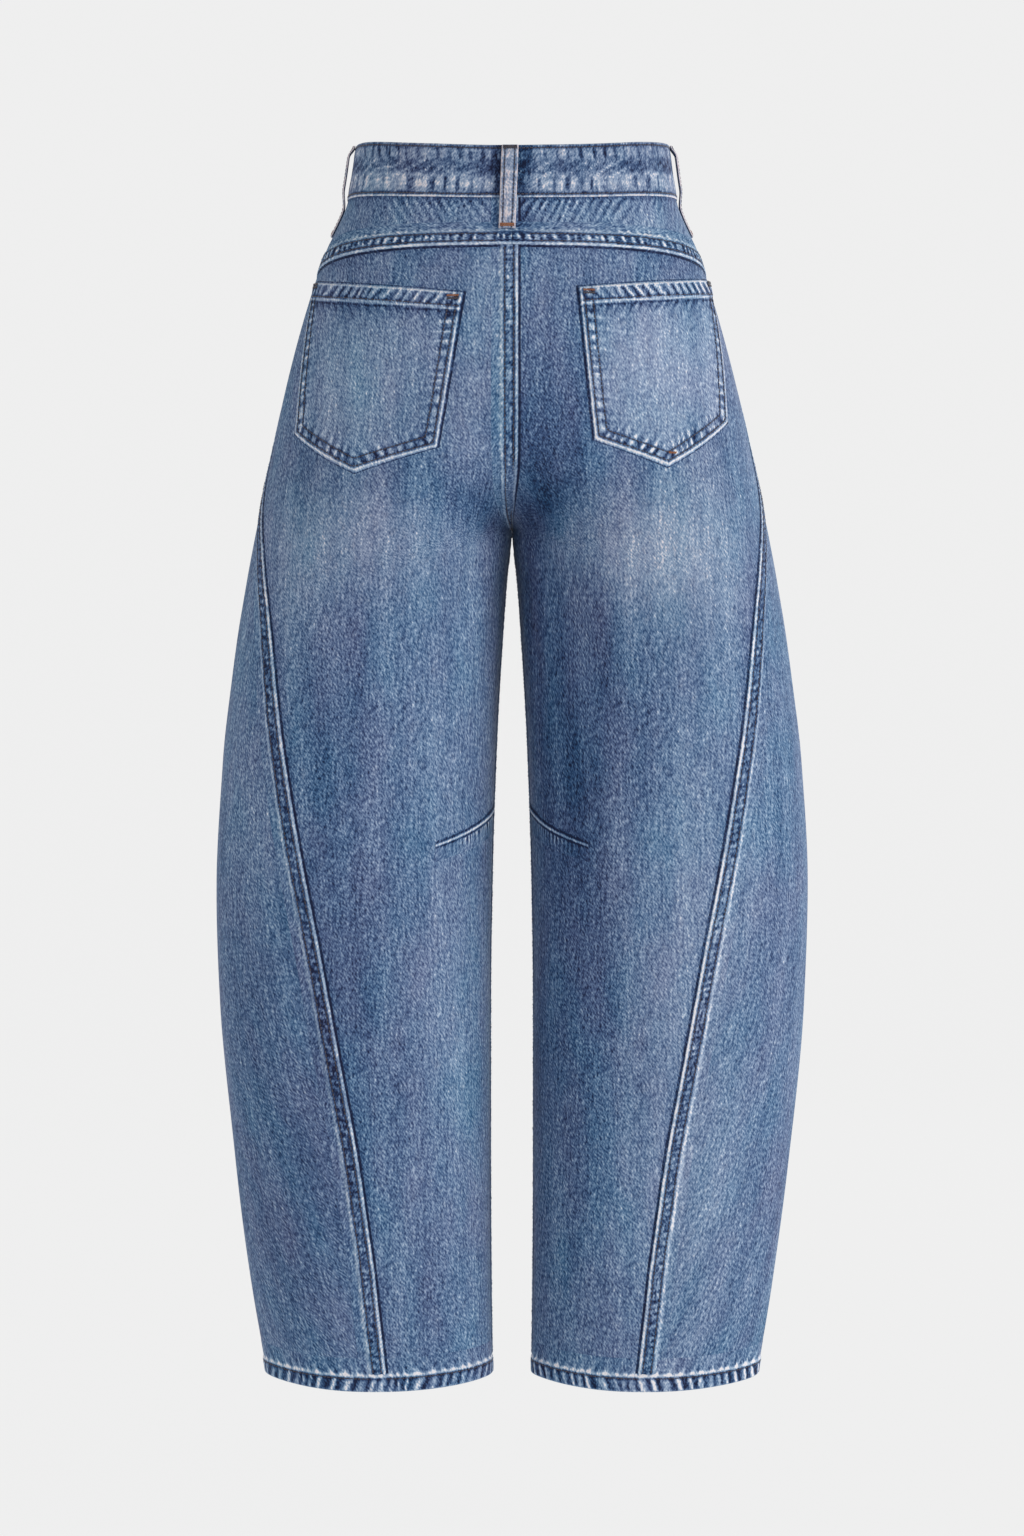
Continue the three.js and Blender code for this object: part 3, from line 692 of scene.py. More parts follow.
def maths(tree, operation, *values, **settings):
    """A math node's result; each value is a number or a socket."""
    numbers = {i: value for i, value in enumerate(values) if isinstance(value, float)}
    sources = {i: value for i, value in enumerate(values) if i not in numbers}
    made = node(tree, "ShaderNodeMath", {"operation": operation, **settings, **numbers}, sources)
    return made.outputs[0]


def scaled(tree, source, amount, middle=0.5):
    """(source - middle) x amount."""
    return maths(tree, "MULTIPLY", maths(tree, "SUBTRACT", source, middle), amount)


def added(tree, first, *others):
    for other in others:
        first = maths(tree, "ADD", first, other)
    return first


def mapped(tree, source, start, end, low, high):
    """A source carried from start to end into low to high, and held at both."""
    ends = {"From Min": start, "From Max": end, "To Min": low, "To Max": high}
    return node(tree, "ShaderNodeMapRange", ends, {"Value": source}).outputs["Result"]


def bump(tree, shader, height, strength, distance):
    made = node(tree, "ShaderNodeBump", {"Strength": strength, "Distance": distance}, {"Height": height})
    tree.links.new(made.outputs["Normal"], shader.inputs["Normal"])


TWILL_PITCH = 2.0  # millimetres; real twill of 1.2 mm is too fine to show, so it is drawn coarser
TWILL_ANGLE = 62.0
TWILL_SLANT = 32.0


def twill(tree, grain):
    """The diagonal ribs of the twill, rising to the right, from 0 to 1."""
    placed = node(
        tree, "ShaderNodeMapping",
        {"Rotation": (0, 0, math.radians(TWILL_ANGLE - 90))}, {"Vector": grain},
    )
    return node(
        tree, "ShaderNodeTexWave",
        {"wave_type": "BANDS", "bands_direction": "X", "wave_profile": "SIN",
         "Scale": math.pi / (10 * TWILL_PITCH * MM), "Distortion": 1.4, "Detail": 1.0,
         "Detail Scale": 1.2},
        {"Vector": placed.outputs["Vector"]},
    ).outputs["Fac"]


def denim_face(name):
    """Stone-washed indigo denim, right side: blue warp over white weft, so it is a speckled
    mid blue, paler where it was rubbed and navy in the painted shadow beside a seam's edge, over cloth kept
    unfaded there; a matt face."""
    material, tree, shader = new_material(name, {
        "Roughness": 0.88, "Specular IOR Level": 0.15, "Sheen Weight": 0.04, "Sheen Roughness": 0.4,
    })
    colours = palette()
    grain = node(tree, "ShaderNodeUVMap", {"uv_map": "grain"}).outputs["UV"]
    # the fade attribute also carries painted shade and painted shadow lines
    wash, cast = (
        node(tree, "ShaderNodeAttribute", {"attribute_name": key}).outputs["Fac"] for key in ("wash", "cast")
    )
    speckle = grain_noise(tree, grain, (1.35, 3.1), 1.0, 0.5, TWILL_SLANT)
    slub = grain_noise(tree, grain, (1.9, 14.0))
    cloud = grain_noise(tree, grain, (16.0, 150.0), 3.0, 0.55)
    ribs = twill(tree, grain)
    yarns = added(tree, scaled(tree, speckle, 0.95), scaled(tree, slub, 0.62), scaled(tree, ribs, 0.08))
    calmed = maths(tree, "MULTIPLY", yarns, mapped(tree, wash, -0.1, 0.9, 1.0, 0.5))
    tone = added(tree, scaled(tree, wash, 0.5, -1.0), calmed, scaled(tree, cloud, 0.3))
    # the lowest stop is the painted shadow beside lapping edges
    blue = ramp(tree, tone, (
        (0.0, colours.shadow_and_unfaded), (0.27, colours.deep), (0.5, colours.mid),
        (0.77, colours.faded), (0.92, colours.pale), (1.0, colours.worn),
    ))
    warmth = mapped(tree, grain_noise(tree, grain, (5.0, 9.0)), 0.52, 0.78, 0.0, 0.34)
    warm = node(
        tree, "ShaderNodeMix",
        {"data_type": "RGBA", "blend_type": "MULTIPLY", 7: linear(colours.grey_cast)},
        {0: maths(tree, "ADD", cast, warmth, use_clamp=True), 6: blue},
    )
    patch = grain_noise(tree, grain, (44.0, 110.0))
    hue = mapped(tree, patch, 0.2, 0.8, 0.488, 0.512)
    depth = mapped(tree, patch, 0.2, 0.8, 1.12, 0.88)
    hued = node(
        tree, "ShaderNodeHueSaturation", {"Value": 1.0},
        {"Hue": hue, "Saturation": depth, "Color": warm.outputs[2]},
    )
    tree.links.new(hued.outputs["Color"], shader.inputs["Base Color"])
    height = added(tree, scaled(tree, speckle, 0.7), scaled(tree, ribs, 0.4), scaled(tree, slub, 0.5))
    bump(tree, shader, height, 0.55, 0.0005)
    return material


def denim_reverse(name):
    """The reverse of the denim: white weft over blue warp, so it is a pale grey blue."""
    material, tree, shader = new_material(
        name, {"Roughness": 0.9, "Specular IOR Level": 0.2, "Sheen Weight": 0.15}
    )
    grain = node(tree, "ShaderNodeUVMap", {"uv_map": "grain"}).outputs["UV"]
    tone = added(tree, grain_noise(tree, grain, (2.4, 1.4)), scaled(tree, twill(tree, grain), 0.25))
    pale = ramp(tree, tone, ((0.3, palette().reverse_dark), (0.7, palette().reverse_pale)))
    tree.links.new(pale, shader.inputs["Base Color"])
    bump(tree, shader, tone, 0.5, 0.0004)
    return material


def object_noise(tree, scale, detail):
    place = node(tree, "ShaderNodeTexCoord").outputs["Object"]
    made = node(tree, "ShaderNodeTexNoise", {"Scale": scale, "Detail": detail}, {"Vector": place})
    return made.outputs["Fac"]


def cotton_thread(name, colour, light):
    """Core-spun cotton thread, twisted, so it has fine light and dark plies."""
    material, tree, shader = new_material(name, {"Roughness": 0.7, "Sheen Weight": 0.2})
    mottle = object_noise(tree, 420.0, 2.0)
    tree.links.new(ramp(tree, mottle, ((0.35, colour), (0.68, light))), shader.inputs["Base Color"])
    bump(tree, shader, mottle, 0.4, 0.0002)
    return material


def aged_copper(name):
    """Stamped copper with a rubbed finish, mottled from brown through copper to a paler copper."""
    material, tree, shader = new_material(name, {"Metallic": 1.0})
    mottle = object_noise(tree, 260.0, 4.0)
    tone = ramp(tree, mottle, ((0.3, "#5b3d27"), (0.6, palette().metal), (0.8, "#c79a6e")))
    tree.links.new(tone, shader.inputs["Base Color"])
    tree.links.new(mapped(tree, mottle, 0.0, 1.0, 0.28, 0.5), shader.inputs["Roughness"])
    return material


PAPER_GLOW = 0.94


def studio_paper(name):
    """Seamless background paper, lit evenly: matt and nearly white. It shows on its upper
    side only, so a camera below the floor still sees the trousers."""
    material, tree, shader = new_material(name, {
        "Base Color": linear("#202020"), "Roughness": 1.0, "Specular IOR Level": 0.0,
        "Emission Color": linear(palette().paper), "Emission Strength": PAPER_GLOW,
    })
    output = next(n for n in tree.nodes if n.type == "OUTPUT_MATERIAL")
    below = node(tree, "ShaderNodeNewGeometry").outputs["Backfacing"]
    clear = node(tree, "ShaderNodeBsdfTransparent").outputs["BSDF"]
    sides = node(tree, "ShaderNodeMixShader", {}, {0: below, 1: shader.outputs["BSDF"], 2: clear})
    tree.links.new(sides.outputs["Shader"], output.inputs["Surface"])
    material.cycles.emission_sampling = "NONE"
    return material


def palette():
    return bpy.context.scene.trouser_colours


def made_once(name, make, *values):
    """The material of this name, made on its first use and shared after it."""
    return bpy.data.materials.get(name) or make(name, *values)


def cloth_materials():
    """The two sides of the denim."""
    return [
        made_once("Stone-washed indigo denim", denim_face),
        made_once("Denim reverse, weft side", denim_reverse),
    ]


def thread_materials():
    colours = palette()
    return [
        made_once("Topstitching thread, brown-grey", cotton_thread, colours.thread, "#463f49"),
        made_once("Bar tack thread, copper", cotton_thread, colours.bar_tack, "#98633f"),
    ]


# Panels

EDGE_LINES = (0.0, 1.0, 2.2, 4.0, 7.0)


def edged_steps(width, spacing):
    """Shares from 0 to 1 along a width: close together at both edges, even between."""
    edge = np.array(EDGE_LINES) / width
    count = max(3, int(round((width - 2 * EDGE_LINES[-1]) / spacing)))
    middle = np.linspace(edge[-1], 1 - edge[-1], count + 1)
    return np.concatenate([edge[:-1], middle, (1 - edge[:-1])[::-1]])


def shade_by(distance, depth=0.55, reach=2.6):
    """Painted shadow beside a lapping edge, over cloth kept unfaded there: darkest at it and gone a few
    millimetres away.
    """
    return -depth * tail(distance, 0, reach)


def panel_piece(name, side, u, drop, length, wash, nodes):
    outer = cloth_point(side, u, drop, 0.0)
    inner = cloth_point(side, u, drop, -CLOTH)
    grain = np.stack(np.broadcast_arrays(side * length, drop), axis=-1)
    part = wall_part(outer, inner, grain, wash)
    part["cast"] = np.concatenate([patches(CAST, side, u, drop).ravel()] * 2)
    cloth_piece(name, [part], nodes=nodes)


def stretch_nodes(panel):
    return [f"{panel}_{stretch}" for stretch in STRETCHES]


# The fade and painted shade of the patch table at these places.
def body_wash_and_shade(side, u, drop):
    return patches(WASH_AND_SHADE, side, u, drop)


# Seam bands

def run_along(points):
    """The length from the first point to each."""
    return np.concatenate([[0], np.cumsum(np.linalg.norm(np.diff(points, axis=0), axis=-1))])


def even_steps(curve, start, end, pitch):
    """Parameters of a curve at an even spacing, and the lengths run so far."""
    fine = np.linspace(start, end, 1200)
    run = run_along(curve(fine))
    even = np.linspace(0, run[-1], max(2, int(round(run[-1] / pitch))) + 1)
    return np.interp(even, run, fine), even


def groove(across, row):
    return bell(across, row, 1.0)


def band_profile(run, across, seed, height, sewn):
    """Height, fade and painted shade of a felled seam: a rounded fold, level cloth and a soft step down, with
    puckers between the fold and the far edge, drawn down along the stitch rows, navy in the lows,
    and rubbed pale on the fold and the highs; the cloth beside the fold is painted in shadow."""
    pitch, slant, spots, shade, flames = SEWN[sewn]
    pucker = crest(run, across, seed, pitch, slant)
    window = rise(across, 0.6, 1.6) * fall(across, 11.0, 3.5)
    between = rise(across, ROWS[0] + 0.2, 1.3) * fall(across, ROWS[1] - 1.4, 1.3)
    drawn = sum(groove(across, row) for row in ROWS)
    size = bpy.context.scene.trouser_sizes.pucker_height / MM
    top = height * round_edge(across + 0.35, 0.9) * fall(across, 11.4, 3.0)
    top = top + size * pucker * window - 0.22 * drawn * window
    edges = 1.05 * bell(across, 1.0, 1.2) + 0.8 * bell(across, 12.4, 1.4)
    beyond = rise(across, 11.5, 2.5) * tail(across, 13.5, 3.5)
    flecks = drift(run + 57.0 * np.floor(across / 1.9), 2.3, seed + 8)
    wash = between * (spots * pucker + 0.65 * flecks + shade) - 0.85 * drawn * (0.9 - 0.25 * pucker)
    wash = wash + edges * (0.8 + 0.2 * drift(run, 9, seed + 5)) + flames * beyond * np.maximum(pucker, -0.3)
    # the cloth beside the fold gets a painted shadow, nearly the darkest tone
    beside = across < -0.3
    top = np.where(beside, 0.16, np.maximum(top, 0.17 * (across > 14.5) - 0.05))
    return top, np.where(beside, -1.05, wash)


def seam_band(place, start, end, seed, height=1.1, sewn="side", lift=None):
    """A strip along a seam: its section is carried along the cloth, and place turns a
    position along and across the seam into side, u and drop. lift moves it by its along."""
    def line(along):
        return cloth_point(*place(along, np.zeros_like(along)), 0.0)

    steps, run = even_steps(line, start, end, BAND_PITCH)
    across = np.array(BAND_ACROSS)[None, :]
    along = steps[:, None]
    top, wash = band_profile(run[:, None], across, seed, height, sewn)
    if lift:
        top = top + lift(along) * (across > -0.3)
    spot = place(along, np.broadcast_to(across, top.shape))
    ends = across[:, [-1, 0]]
    under = cloth_point(*place(along, np.broadcast_to(ends, (len(steps), 2))), -0.7)
    rings = np.concatenate([cloth_point(*spot, top), under], axis=1)
    grain = np.broadcast_arrays(np.concatenate([across, ends], axis=1), run[:, None])
    return tube_part(rings, np.stack(grain, axis=-1), with_hidden(wash + body_wash_and_shade(*spot), 2))


def with_hidden(wash, count):
    """The fade and painted shade of a section's points, with none on the hidden ones that close it."""
    return np.pad(wash, ((0, 0), (0, count)))


def rows_of_stitches(place, start, end, seed, height=1.1, sewn="side"):
    """Both rows of a felled seam at the stitch pitch, lying on its puckered band."""
    parts = []
    for row in ROWS:
        def line(along):
            return cloth_point(*place(along, np.full_like(along, row)), height)

        steps, run = even_steps(line, start, end, STITCH_PITCH)
        top = band_profile(run, np.full_like(run, row), seed, height, sewn)[0]
        spot = place(steps, np.full_like(steps, row))
        parts.append(stitches_part(cloth_point(*spot, top), cloth_normal(*spot)))
    return parts


STITCH_ROUND = 6
STITCH_RINGS = ((-0.5, 0.35), (-0.34, 0.92), (0.34, 0.92), (0.5, 0.35))


def stitches_part(points, normals, size=1.0, slot=0, share=STITCH_SHARE):
    """Short rounded threads, one from each point to the next, lying half sunk in the cloth.
    Each is the same small capsule, turned to its chord and the cloth's normal."""
    radius = size * bpy.context.scene.trouser_sizes.thread_thickness / MM / 2
    chord = points[1:] - points[:-1]
    middle = (points[1:] + points[:-1]) / 2
    length = np.linalg.norm(chord, axis=-1, keepdims=True)
    ahead = chord / np.maximum(length, 1e-9)
    up = (normals[1:] + normals[:-1]) / 2
    up = unit(up - ahead * np.sum(up * ahead, axis=-1, keepdims=True))
    across = np.cross(ahead, up)
    angle = np.arange(STITCH_ROUND) * 2 * np.pi / STITCH_ROUND
    template = np.array([
        (place, radius * wide * math.cos(a), radius * wide * math.sin(a) - 0.5 * abs(place) * radius)
        for place, wide in STITCH_RINGS for a in angle
    ])
    body = (
        middle[:, None, :]
        + ahead[:, None, :] * (template[None, :, 0:1] * length[:, None, :] * share)
        + across[:, None, :] * template[None, :, 1:2]
        + up[:, None, :] * (template[None, :, 2:3] + 0.25 * radius)
    )
    rings, each = len(STITCH_RINGS), len(template)
    ring = np.arange(STITCH_ROUND)
    caps = np.array([ring[::-1], ring + each - STITCH_ROUND])
    faces = turned_out(body[0], [(round_faces(rings, STITCH_ROUND).reshape(-1, 4), slot), (caps, slot)])
    offsets = np.arange(len(middle))[:, None, None] * each
    faces = [((group[None] + offsets).reshape(-1, group.shape[1]), slot) for group, slot in faces]
    return {"points": body.reshape(-1, 3), "faces": faces}


def row_along(line, normals):
    """Stitches along a line of points, set at an even pitch."""
    run = run_along(line)
    even = np.linspace(0, run[-1], max(2, int(round(run[-1] / STITCH_PITCH))) + 1)
    points, ups = (
        np.stack([np.interp(even, run, values[:, axis]) for axis in range(3)], axis=-1)
        for values in (line, normals)
    )
    return stitches_part(points, unit(ups))


def on_cloth(side, length, drop, out):
    """Points and normals at a length from the centre back, which below 0 is on the other half."""
    spot = signed(side, length), place_at(np.abs(length), drop), drop
    return cloth_point(*spot, out), cloth_normal(*spot)


def zigzag(drop, count, width):
    """Drops that swing by a width from one stitch of a bar tack to the next."""
    return drop + np.where(np.arange(count) % 2 == 0, -0.5, 0.5) * width


# Where each seam runs: a position along and across it gives the side, u and drop.

def signed(side, length):
    """A length below 0 crosses the centre to the other half."""
    return np.where(length < 0, -side, side)


def side_seam_place(side):
    """Along is the drop; across goes from the seam over the front panel."""
    def place(along, across):
        slope = (BEHIND(along + 2) - BEHIND(along - 2)) / 4
        length = seam_length(along) + across * np.sqrt(1 + slope ** 2)
        return side, place_at(length, along), along

    return place


CENTRE_EDGE = 4.4  # the fold of the centre back seam lies this far right of the middle


def centre_back_place(along, across):
    """Along is the drop; across goes from the fold, right of the middle, over the left half."""
    length = across - CENTRE_EDGE * fall(along, 240, 80)
    return signed(LEFT, length), place_at(np.abs(length), along), along


def centre_front_place(along, across):
    """Along is the drop; across goes from the centre front over the left half."""
    return signed(LEFT, across), place_at(full_length(along) - np.abs(across), along), along


def inseam_place(side):
    """Along is the drop; across goes from the inseam over the front panel."""
    def place(along, across):
        front = place_at(full_length(along) - np.abs(across), along)
        back = place_at(np.abs(across), along)
        return side, np.where(across < 0, back, front), along

    return place


def yoke_place(side):
    """Along is the length from the centre back; across goes up from the yoke's lower edge."""
    def place(along, across):
        drop = yoke_drop(along) - across
        return side, place_at(along, drop), drop

    return place


def hem_place(side):
    """Along is the length round the hem; across goes up from its lower edge."""
    def place(along, across):
        drop = HEM_DROP - across
        return side, place_at(along * full_length(drop) / full_length(HEM_DROP), drop), drop

    return place


def build_yokes():
    for side, label in SIDES:
        share = edged_steps(210.0, 2.2)[:, None]
        nominal = share * seam_length(YOKE_DROP)
        rows = np.linspace(0, 1, 27)[None, :]
        drop = mix(BAND_FOOT - 3.0, yoke_drop(nominal) - 0.3, rows)
        length = share * (seam_length(drop) + 1.0)
        u = place_at(length, drop)
        ripple = crest(length, drop, 300 + side, 7.5, 0.55)
        near_band = rise(drop, 23, 3) * tail(drop, 27, 12)
        near_seam = tail(yoke_drop(length) - drop, 14, 6)
        # painted shadow under the waistband's lower edge and beside the side seam
        wash = 0.08 + body_wash_and_shade(side, u, drop) + shade_by(drop - BAND_FOOT, 0.6, 3.4)
        wash = wash + shade_by(seam_length(drop) - length)
        wash = wash + ripple * ((0.35 + 1.05 * bell(length, 0, 95)) * near_band + 0.85 * near_seam)
        panel_piece(f"cloth_yoke_{label}", side, u, drop, length, wash, [f"yoke_{label}"])
        place = yoke_place(side)
        end = float(seam_length(YOKE_SEAM_END)) - 0.5
        seed = 20 + side

        def over_centre(along):
            return 0.9 * fall(along, 9, 7)

        cloth_piece(f"yoke_seam_{label}", [seam_band(place, 0.0, end, seed, 1.1, "yoke", over_centre)])
        thread_piece(f"yoke_topstitch_{label}", rows_of_stitches(place, 6.0, end - 2, seed, 1.1, "yoke"))


PLUMB = 95.0  # millimetres from the middle, where a panel's straight grain hangs plumb


def plumb_length(drop, steps):
    """The length at which each section passes PLUMB, on its way out along the given steps."""
    aside = cloth_point(RIGHT, (steps / ARC_STEPS)[:, None], ARC_DROPS[None, :], 0.0)[..., 0]
    past = np.maximum(np.argmax(aside > PLUMB, axis=0), 1)
    row = np.arange(len(ARC_DROPS))
    share = (PLUMB - aside[past - 1, row]) / (aside[past, row] - aside[past - 1, row])
    near, far = (arc_between(steps[at], ARC_DROPS) for at in (past - 1, past))
    return np.interp(drop, ARC_DROPS, mix(near, far, np.clip(share, 0, 1)))


def build_back_panels():
    steps = np.arange(ARC_STEPS // 2 + 1)
    for side, label in SIDES:
        share = edged_steps(240.0, 4.6)[:, None]
        top = yoke_drop(share * seam_length(YOKE_DROP)) - 1.0
        drop = top + edged_steps(892.0, 4.4)[None, :] * (HEM_DROP - 1.0 - top)
        length = share * (seam_length(drop) + 1.0)
        u = place_at(length, drop)
        # painted shadow beside the side seam and under the yoke seam
        wash = body_wash_and_shade(side, u, drop) + shade_by(seam_length(drop) - length, 0.5)
        wash = wash + shade_by(drop - yoke_drop(length), 0.6)
        wash = wash + 0.12 * crest(length, drop, 310 + side) * np.exp(-(drop - top) / 10)
        plumb = length - plumb_length(drop, steps)
        panel_piece(f"cloth_back_{label}", side, u, drop, plumb, wash, stretch_nodes(f"back_panel_{label}"))


def build_front_panels():
    steps = np.arange(ARC_STEPS, ARC_STEPS // 2 - 1, -1)
    for side, label in SIDES:
        share = edged_steps(430.0, 5.0)[:, None]
        drop = mix(BAND_FOOT - 3.0, HEM_DROP - 1.0, edged_steps(934.0, 4.6))[None, :] + 0 * share
        length = mix(seam_length(drop), full_length(drop), share)
        u = place_at(length, drop)
        # painted shadow under the waistband's lower edge
        wash = body_wash_and_shade(side, u, drop) + shade_by(drop - BAND_FOOT, 0.6, 3.4)
        plumb = length - plumb_length(drop, steps)
        panel_piece(f"cloth_front_{label}", side, u, drop, plumb, wash, stretch_nodes(f"front_panel_{label}"))


SIDE_START = BAND_FOOT - 1.0
CROTCH = 341.0
INSEAM_START = 346.0


def sunk_under_yoke(along):
    return -0.9 * bell(along, 57, 7.5)


def sunk_under_hem(along):
    return -1.6 * rise(along, HEM_DROP - 15.5, 3.5)


def sunk_at_ends(along):
    return sunk_under_hem(along) - 1.1 * fall(along, INSEAM_START, 12)


def build_seams():
    back, front = centre_back_place, centre_front_place
    cloth_piece("centre_seams", [
        seam_band(back, SIDE_START, CROTCH, 7, 1.1, "centre", sunk_under_yoke),
        seam_band(front, 150.0, CROTCH, 9, 1.1, "centre"),
    ])
    thread = rows_of_stitches(back, 66.0, CROTCH - 2, 7, 1.1, "centre")
    thread += rows_of_stitches(front, 170.0, CROTCH - 2, 9, 1.1, "centre")
    thread_piece("centre_topstitch", thread)
    for side, label in SIDES:
        seam, inseam = side_seam_place(side), inseam_place(side)
        seed = 30 + side
        cloth_piece(f"leg_seams_{label}", [
            seam_band(seam, SIDE_START, HEM_DROP - 3, seed, 1.1, "side", sunk_under_hem),
            seam_band(inseam, INSEAM_START, HEM_DROP - 3, seed + 4, 0.9, "inseam", sunk_at_ends),
        ])
        thread = rows_of_stitches(seam, SIDE_START + 2, HEM_DROP - 15, seed)
        thread += rows_of_stitches(inseam, INSEAM_START + 12, HEM_DROP - 15, seed + 4, 0.9, "inseam")
        thread_piece(f"leg_topstitch_{label}", thread)


HEM_ROW = 10.6
HEM_ACROSS = (28.0, 25.0, 22.0, 19.5, 17.5, 16.0, 15.0, 14.0, 13.0, 12.0, 11.2, 10.6, 9.8, 8.4, 6.8,
              5.2, 3.6, 2.2, 1.2, 0.5, 0.0)
HEM_INSIDE = (0.0, 1.6, 6.0, 12.6, 14.0)


def build_hems():
    """Each hem is a band that wraps the cloth's lower edge: up its outside, down inside."""
    across, inside = np.array(HEM_ACROSS), np.array(HEM_INSIDE)
    for side, label in SIDES:
        place = hem_place(side)
        round_it = float(full_length(HEM_DROP))
        along = np.linspace(0, round_it, int(round_it / 1.8) + 1)[:-1]
        spot = place(along[:, None], across[None, :])
        seed = 50 + side
        pucker = crest(along[:, None], across, seed, 8.6, 0.35)
        window = rise(across, 0, 2.2) * fall(across, 9.6, 2.6)
        step = fall(across, 12.2, 2.4)
        over_seam = bell(along, seam_length(HEM_DROP) + 7, 6.5, 4)[:, None]
        top = mix(-0.7, HEM_OUT + 0.35, round_edge(across, 1.6)) * step + 0.42 * pucker * window
        top = top - 0.3 * groove(across, HEM_ROW) + 0.9 * over_seam * step * rise(across, 0, 2.0)
        top = np.where(across > 27, -0.2, np.where(across > 14.5, 0.14, top))
        flame = crest(along[:, None], across, seed, 8.6, -0.5)
        above = rise(across, 12, 2) * tail(across, 13.5, 5)
        wash = window * (1.5 * pucker - 0.1) - 0.85 * groove(across, HEM_ROW)
        wash = wash + 0.4 * bell(across, 0.4, 0.8) + 0.95 * bell(across, 13.1, 1.5)
        wash = wash + 1.2 * above * np.maximum(flame, -0.4) + 0.35 * over_seam * step + body_wash_and_shade(*spot)
        depth = -CLOTH - np.array([0.0, HEM_IN, HEM_IN, HEM_IN, -0.3])
        inner = cloth_point(*place(along[:, None], inside[None, :]), depth)
        rings = np.concatenate([cloth_point(*spot, top), inner], axis=1)
        grain_down = HEM_DROP - np.concatenate([across, -inside])
        wash = with_hidden(wash, len(inside))
        cloth_piece(f"hem_{label}", [ring_part(rings, grain_down, side * along, wash, len(across))])
        spot = place(np.append(along, along[0]), np.array(HEM_ROW))
        row = row_along(cloth_point(*spot, HEM_OUT + 0.1), cloth_normal(*spot))
        thread_piece(f"hem_topstitch_{label}", [row])


def waist_path(run):
    """The waistband's strip by its length: 0 is the end under the button, on the left front;
    it runs over the centre front, right side, back and left side to its upper end."""
    half = float(full_length(0.0))
    on_left_start = run < UNDERLAP
    on_right = (run >= UNDERLAP) & (run < UNDERLAP + half)
    length = np.where(
        on_left_start, half - UNDERLAP + run,
        np.where(on_right, half - (run - UNDERLAP), run - UNDERLAP - half),
    )
    climbing = rise(length, half - UNDERLAP - 2 - OVERLAP_RAMP, OVERLAP_RAMP)
    raised = np.where(on_left_start | on_right, 0.0, (BAND_OUT + BAND_IN + 0.3) * climbing)
    return np.where(on_right, RIGHT, LEFT), length / half, raised


BAND_SECTION_OUT = (21.8, 21.2, 20.4, 19.6, 18.6, 17.2, 15.8, 14.4, 13.0, 11.5, 10.0, 8.5, 7.0, 5.5,
                    4.0, 2.5, 1.0, -0.5, -2.0, -3.5, -5.0, -6.5, -8.0, -9.5, -11.0, -12.5, -14.0,
                    -15.4, -16.8, -18.2, -19.4, -20.4, -21.2, -21.7, -22.0)
BAND_SECTION_IN = (-21.6, -20.4, -12.0, 0.0, 12.0, 20.4, 21.6)
BAND_ROWS = (19.0, -19.4)


def build_waistband():
    half = float(full_length(0.0))
    total = 2 * half + UNDERLAP
    run = np.linspace(0, total, int(total / 1.5))
    out, hidden = np.array(BAND_SECTION_OUT), len(BAND_SECTION_IN)
    drops = np.concatenate([out, BAND_SECTION_IN])
    side, share, raised = waist_path(run)
    along = run[:, None]
    low = crest(along, out, 71, 12.0, -0.08)
    high = crest(along, out, 75, 9.6, 0.1)
    low_window, high_window = bell(out, 10.5, 6.0, 4), bell(out, -14, 4.6, 4)
    blotch = drift(along + 0.7 * out, 19, 79) * bell(out, -2, 7)
    slanted = (along - 1.6 * out) / 14 + 0.8 * drift(along, 24, 83)
    strokes = np.maximum(np.sin(2 * np.pi * slanted), 0) ** 4 * (0.65 + 0.35 * drift(along, 15, 84))
    strokes = strokes * bell(out, -2, 8.0)
    drawn = sum(groove(out, row) for row in BAND_ROWS)
    top = BAND_OUT * round_edge(np.minimum(out - BAND_TOP, BAND_FOOT - out), 1.5)
    top = top + 0.4 * (low * low_window + 0.8 * high * high_window) + 0.2 * blotch - 0.25 * drawn
    low_spots = 0.5 - 1.2 * smoothstep((-0.1 - low) / 0.5) * (0.8 + 0.4 * drift(along, 34, 81))
    high_spots = 0.3 - 1.1 * smoothstep((-0.1 - high) / 0.5) * (0.75 + 0.5 * drift(along, 41, 82))
    # painted shadow on the waistband either side of the back belt loop
    shadow_by_loop = bell(np.abs(along - UNDERLAP - half), 9.0, 6.5)
    flecks = drift(along + 57.0 * np.floor(out / 2.4), 3.0, 88)
    wash = low_window * low_spots + high_window * high_spots + 0.32 * blotch + 1.25 * strokes + 0.25 * flecks
    wash = wash + 0.12 - 0.42 * bell(out, -3, 6.5) - 0.75 * shadow_by_loop
    wash = wash + 0.45 * bell(out, 4.0, 1.6) * (0.6 + 0.4 * drift(along, 9, 85))
    wash = wash + 0.9 * bell(out, 21.2, 0.9) + 0.315 * bell(out, -21.6, 0.8) - 0.8 * drawn
    full_top = np.concatenate([top, np.full((len(run), hidden), -BAND_IN)], axis=1)
    u = place_at(share[:, None] * full_length(drops), drops + 0 * along)
    rings = cloth_point(side[:, None], u, drops, raised[:, None] + full_top)
    grain = np.stack(np.broadcast_arrays(along, drops), axis=-1)
    slots = np.concatenate([np.zeros(len(out), int), np.ones(hidden - 1, int), [0]])
    part = tube_part(rings, grain, with_hidden(wash, hidden), slots)
    part["cast"] = np.full(len(part["wash"]), BAND_CAST)
    cloth_piece("cloth_waistband", [part], nodes=["waistband"])
    parts = []
    for row in BAND_ROWS:
        drop = np.full(len(run), row)
        spot = side, place_at(share * full_length(drop), drop), drop
        parts.append(row_along(cloth_point(*spot, raised + BAND_OUT - 0.1), cloth_normal(*spot)))
    thread_piece("waist_topstitch", parts)


# Back pockets

